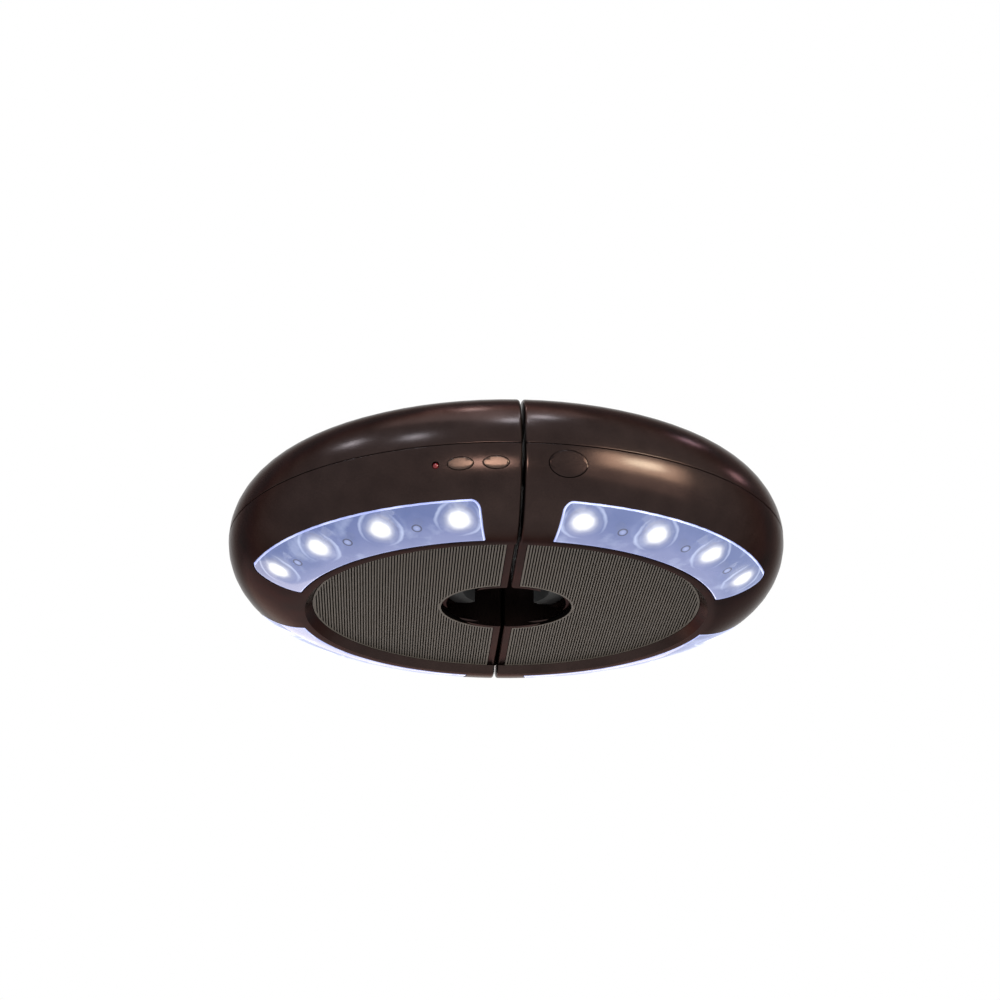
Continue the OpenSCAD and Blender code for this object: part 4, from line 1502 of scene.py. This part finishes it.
@dataclass(frozen=True)
class ButtonShape:
    """Where a button stands and how large its face is."""

    node: str
    side: Side
    azimuth: float
    offset: float
    z: float
    length: float
    height: float

    def frame(self) -> Matrix:
        """Place whose Z axis points out of the shell and X runs along the button's length.

        Returns:
            The matrix in metres.
        """
        turn, sign = math.radians(self.azimuth - 90), self.side.value
        out = Vector((math.cos(turn) * sign, math.sin(turn), 0))
        along = Vector((-math.sin(turn) * sign, math.cos(turn), 0))
        matrix = Matrix((along * sign, Vector((0, 0, 1)), out)).transposed().to_4x4()
        matrix.translation = (along * self.offset + Vector((0, 0, self.z))) * MM
        return matrix


@dataclass
class Controls:
    """Push buttons that follow the shell, the indicator lamp, and the windows of the latch."""

    proud: float = 0.4
    fit: float = 0.25
    edge_round: float = 0.45
    shortest: float = 0.15
    back_r: float = 112.0
    front_r: float = 126.0
    back_clear: float = 3.0
    skin_arc: Pair = (-1.0, 0.7)
    skin_lines: int = 34
    skin_sweep: float = 52.0
    skin_steps: int = 52
    strike_window: Box = ((-3.5, -100.6, 21.4), (1.0, -95.4, 28.6))
    arm_window: Box = ((-1.0, -103.6, 21.4), (3.5, -95.4, 28.6))
    buttons: tuple[ButtonShape, ...] = (
        ButtonShape("brightness_button", Side.LEFT, 10.85, -12.11, 22.3, 10.4, 4.8),
        ButtonShape("power_button", Side.LEFT, 10.85, 2.04, 22.3, 10.4, 4.8),
        ButtonShape("unlock_button", Side.RIGHT, 8.4, 0.0, 22.7, 15.6, 10.3),
    )
    lamp: ButtonShape = ButtonShape("indicator_lamp", Side.LEFT, 10.85, 12.11, 22.3, 2.9, 2.9)

    def prism(self, shape: ButtonShape, grow: float) -> bpy.types.Object:
        """A prism with the outline of a button.

        Args:
            shape: The button.
            grow: How much larger it is all round.

        Returns:
            The prism, through the shell.
        """
        piece = rod(shape.node + "_prism", 1.0, self.back_r, self.front_r, 64)
        with shaping(piece):
            bpy.ops.mesh.select_all(action="SELECT")
            bpy.ops.transform.resize(
                value=(shape.length / 2 + grow, shape.height / 2 + grow, 1), center_override=(0, 0, 0)
            )
        return place(piece, shape.frame())

    def holes(self, side: Side) -> list[bpy.types.Object]:
        """What is cut from the lower shell of a half for its controls and its latch.

        Args:
            side: The half.

        Returns:
            The cutting solids.
        """
        tools = [self.prism(shape, self.fit) for shape in self.buttons if shape.side is side]
        if side is Side.LEFT:
            return [*tools, self.prism(self.lamp, 0.0), block("latch_window", *self.strike_window)]
        return [*tools, block("latch_window", *self.arm_window)]

    def skin(self) -> bpy.types.Object:
        """The front of the ring, grown by as much as the buttons stand proud."""
        o, start = OUTLINE, -self.skin_sweep / 2
        grown = o.arc(o.belly, o.belly_r + self.proud, *self.skin_arc, self.skin_lines)
        return spun("button_skin", [o.belly, *grown], start, self.skin_sweep, self.skin_steps)

    def rim_of(self, shape: ButtonShape) -> EdgeTest:
        """Makes the test of an edge that runs round a button's face.

        Args:
            shape: The button.

        Returns:
            The test.
        """
        inward, sharp = shape.frame().inverted(), sharper_than(35)
        least = (self.back_r + self.back_clear) * MM
        return lambda edge: sharp(edge) and (inward @ edge.verts[0].co).z > least

    def build(self) -> None:
        """Builds the button caps and dresses the lamp."""
        for shape in self.buttons:
            piece = self.skin()
            cut(piece, self.prism(shape, 0), Cut.COMMON)
            merge_close(piece, self.shortest)
            soften(piece, self.rim_of(shape), self.edge_round)
            smooth(piece, 40)
            dress(piece, SHELL if shape.side is Side.RIGHT else BUTTON)
            piece.name = piece.data.name = shape.node + "_cap"
            seat(piece, shape.node, [shape.node])
        dress(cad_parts["indicator_lamp"], INDICATOR)


# ------------------------------------------------------------------ hinge


@dataclass
class Hinge:
    """Knuckles that grow from the shells, and the pin through them."""

    y: float = OUTLINE.hinge_y
    radius: float = 6.5
    hole: float = 2.05
    bottom: float = 13.0
    height: float = 9.8
    gap: float = 0.3
    web: Pair = (8.0, 4.55)
    web_gap: float = 0.5
    edge_round: float = 0.4

    def drill(self, z0: float, z1: float) -> bpy.types.Object:
        """A rod as thick as the pin's hole, through all that lies between two heights."""
        return rod("pin_hole", self.hole, z0 - PAST, z1 + PAST, 32)

    def knuckle(self, index: int, side: Side) -> bpy.types.Object:
        """One drilled knuckle with its web.

        Args:
            index: Place in the barrel, from below.
            side: Half that it belongs to.

        Returns:
            The knuckle.
        """
        z0 = self.bottom + index * (self.height + self.gap)
        z1 = z0 + self.height
        axis = Matrix.Translation((0, self.y * MM, 0))
        piece = rod("knuckle", self.radius, z0, z1, 64)
        soften(piece, sharper_than(60), self.edge_round)
        cut(piece, self.drill(z0, z1))
        place(piece, axis)
        across, back = self.web
        low = (min(0, side.value * across), self.y - back, z0 + self.edge_round)
        top = min(z1 - self.edge_round, OUTLINE.joint_z)
        web = block("web", low, (max(0, side.value * across), self.y - self.web_gap, top))
        cut(web, place(self.drill(z0, z1), axis))
        return join("knuckle", [piece, web])

    def build(self) -> None:
        """Builds the knuckles of both halves and dresses the pin."""
        for side, places in ((Side.LEFT, (0, 2)), (Side.RIGHT, (1,))):
            piece = join(f"{side.label}_hinge_knuckles", [self.knuckle(i, side) for i in places])
            smooth(piece, 35)
            dress(piece, SHELL)
            seat(piece, side.body, [f"{side.label}_lower_shell"])
        dress(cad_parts["hinge_pin"], STEEL)


# ------------------------------------------------------------------ carried-over nodes


@dataclass
class InnerWorks:
    """CAD pieces whose shape is right and that only need their finish."""

    both: tuple[tuple[str, Finish], ...] = (
        ("base_plate", RIBBED),
        ("cover_screws", STEEL),
        ("battery_tray", BLACK),
        ("cells", CELL),
        ("jaw_guide", BLACK),
        ("jaw_carrier", BLACK),
        ("jaw_pad", RUBBER),
    )
    single: tuple[tuple[str, Finish], ...] = (
        ("latch_arm", BLACK),
        ("latch_strike", STEEL),
        ("control_board", BOARD),
    )
    jaw_travel: float = 8.4

    def springs(self, side: Side) -> None:
        """Copies the jaw springs of a half into a piece of its own.

        Args:
            side: The half.
        """
        node = f"{side.label}_jaw_springs"
        piece = copy(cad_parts[node], node + "_coils")
        dress(piece, STEEL)
        seat(piece, side.body, [node])
        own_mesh(piece)

    def build(self) -> None:
        """Dresses the pieces and copies the springs."""
        for node, finish in self.both:
            for side in Side:
                dress(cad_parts[f"{side.label}_{node}"], finish)
        for node, finish in self.single:
            dress(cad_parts[node], finish)
        for side in Side:
            self.springs(side)
        log.info("dressed %d carried-over nodes", 2 * len(self.both) + len(self.single))


# ------------------------------------------------------------------ studio


@dataclass(frozen=True)
class Softbox:
    """A soft studio light that faces the lamp."""

    name: str
    at: Triple
    size: Pair
    power: float
    colour: Colour = grey(1.0)
    aim: Triple = (0.0, 0.0, 0.03)

    def build(self) -> None:
        """Adds the light."""
        data = bpy.data.lights.new(self.name, "AREA")
        data.shape = "RECTANGLE"
        data.size, data.size_y = self.size
        data.energy = self.power
        data.color = self.colour
        lamp = bpy.data.objects.new(self.name, data)
        bpy.context.scene.collection.objects.link(lamp)
        lamp.location = self.at
        lamp.rotation_euler = (Vector(self.aim) - Vector(self.at)).to_track_quat("-Z", "Y").to_euler()


@dataclass
class Studio:
    """Pale floor, white surroundings, soft light and the camera of the photograph."""

    floor_z: float = -1.6
    floor_size: float = 17.0
    world_light: float = 0.45
    camera_at: Triple = (-53.57, -918.97, -310.18)
    camera_pitch: float = 21.611
    camera_yaw: float = 3.168
    camera_lens: float = 79.136
    camera_sensor: float = 36.0
    camera_clip: Pair = (0.01, 20.0)
    lights: tuple[Softbox, ...] = (
        Softbox("warm_window", (0.86, -0.74, 0.20), (0.28, 0.16), 5.4, (0.80, 1.0, 0.78)),
        Softbox("warm_glow", (0.88, -0.78, 0.17), (0.72, 0.42), 10.5, (1.0, 0.86, 0.62)),
        Softbox("warm_wall", (1.05, -0.95, -0.05), (1.2, 1.0), 5.0, (1.0, 0.80, 0.66)),
        Softbox("warm_front", (-0.20, -1.12, -0.13), (0.34, 0.20), 4.6, (1.0, 0.84, 0.70)),
        Softbox("under_rear", (-0.25, 0.93, -0.22), (1.1, 0.42), 2.2, (1.0, 0.86, 0.78)),
        Softbox("overhead", (-0.1, -0.1, 1.2), (0.8, 0.8), 4.0),
    )
    lamp_places: tuple[Triple, ...] = (
        (-0.77, -0.19, 0.75),
        (-0.57, -0.63, 0.71),
        (-0.11, 0.05, 1.03),
        (0.01, -0.51, 0.96),
        (0.15, -0.34, 1.01),
        (0.64, 0.20, 0.81),
        (0.89, 0.26, 0.54),
    )
    lamp_side: float = 0.09
    lamp_power: float = 1.3
    lamp_colour: Colour = (0.62, 0.86, 1.0)

    def world(self) -> None:
        """Makes surroundings that are white to the eye and in reflections, and dimmer as a light."""
        world = bpy.data.worlds.new("white_studio")
        bpy.context.scene.world = world
        world.use_nodes = True
        nodes, links = world.node_tree.nodes, world.node_tree.links
        white, lit = nodes["Background"], nodes.new("ShaderNodeBackground")
        for background, strength in ((white, 1.0), (lit, self.world_light)):
            background.inputs["Color"].default_value = (1, 1, 1, 1)
            background.inputs["Strength"].default_value = strength
        rays = nodes.new("ShaderNodeLightPath").outputs
        seen = rays["Is Camera Ray"]
        for ray in ("Is Glossy Ray", "Is Transmission Ray"):
            either = nodes.new("ShaderNodeMath")
            either.operation = "MAXIMUM"
            links.new(seen, either.inputs[0])
            links.new(rays[ray], either.inputs[1])
            seen = either.outputs[0]
        mix = nodes.new("ShaderNodeMixShader")
        links.new(seen, mix.inputs[0])
        links.new(lit.outputs[0], mix.inputs[1])
        links.new(white.outputs[0], mix.inputs[2])
        links.new(mix.outputs[0], nodes["World Output"].inputs["Surface"])

    def floor(self) -> None:
        """Lays the pale floor."""
        bpy.ops.object.select_all(action="DESELECT")
        bpy.ops.mesh.primitive_plane_add(size=self.floor_size, location=(0, 0, self.floor_z))
        piece = settle(new_piece("studio_floor"))
        dress(piece, FloorFinish("pale_floor", grey(0.88), grey(0.92), (0.7, 0.8), 0.0, 20, 0.0))

    def camera(self) -> None:
        """Places the camera of the photograph."""
        data = bpy.data.cameras.new("photo_camera")
        data.lens, data.sensor_width = self.camera_lens, self.camera_sensor
        data.clip_start, data.clip_end = self.camera_clip
        camera = bpy.data.objects.new("photo_camera", data)
        bpy.context.scene.collection.objects.link(camera)
        camera.location = Vector(self.camera_at) * MM
        camera.rotation_euler = (math.radians(90 + self.camera_pitch), 0, -math.radians(self.camera_yaw))
        bpy.context.scene.camera = camera

    def build(self) -> None:
        """Builds the studio."""
        bpy.context.scene.view_settings.view_transform = "Standard"
        self.world()
        self.floor()
        self.camera()
        for light in self.lights:
            light.build()
        size = (self.lamp_side, self.lamp_side)
        for index, at in enumerate(self.lamp_places):
            Softbox(f"ceiling_lamp_{index}", at, size, self.lamp_power, self.lamp_colour).build()


def main() -> None:
    """Builds the pieces in order."""
    logging.basicConfig(level=logging.INFO, format="%(name)s: %(message)s")
    Studio().build()
    strips, controls = LightStrips(), Controls()
    HalfShells().build(strips, controls)
    strips.build()
    controls.build()
    Hinge().build()
    InnerWorks().build()


if __name__ == "__main__":
    main()
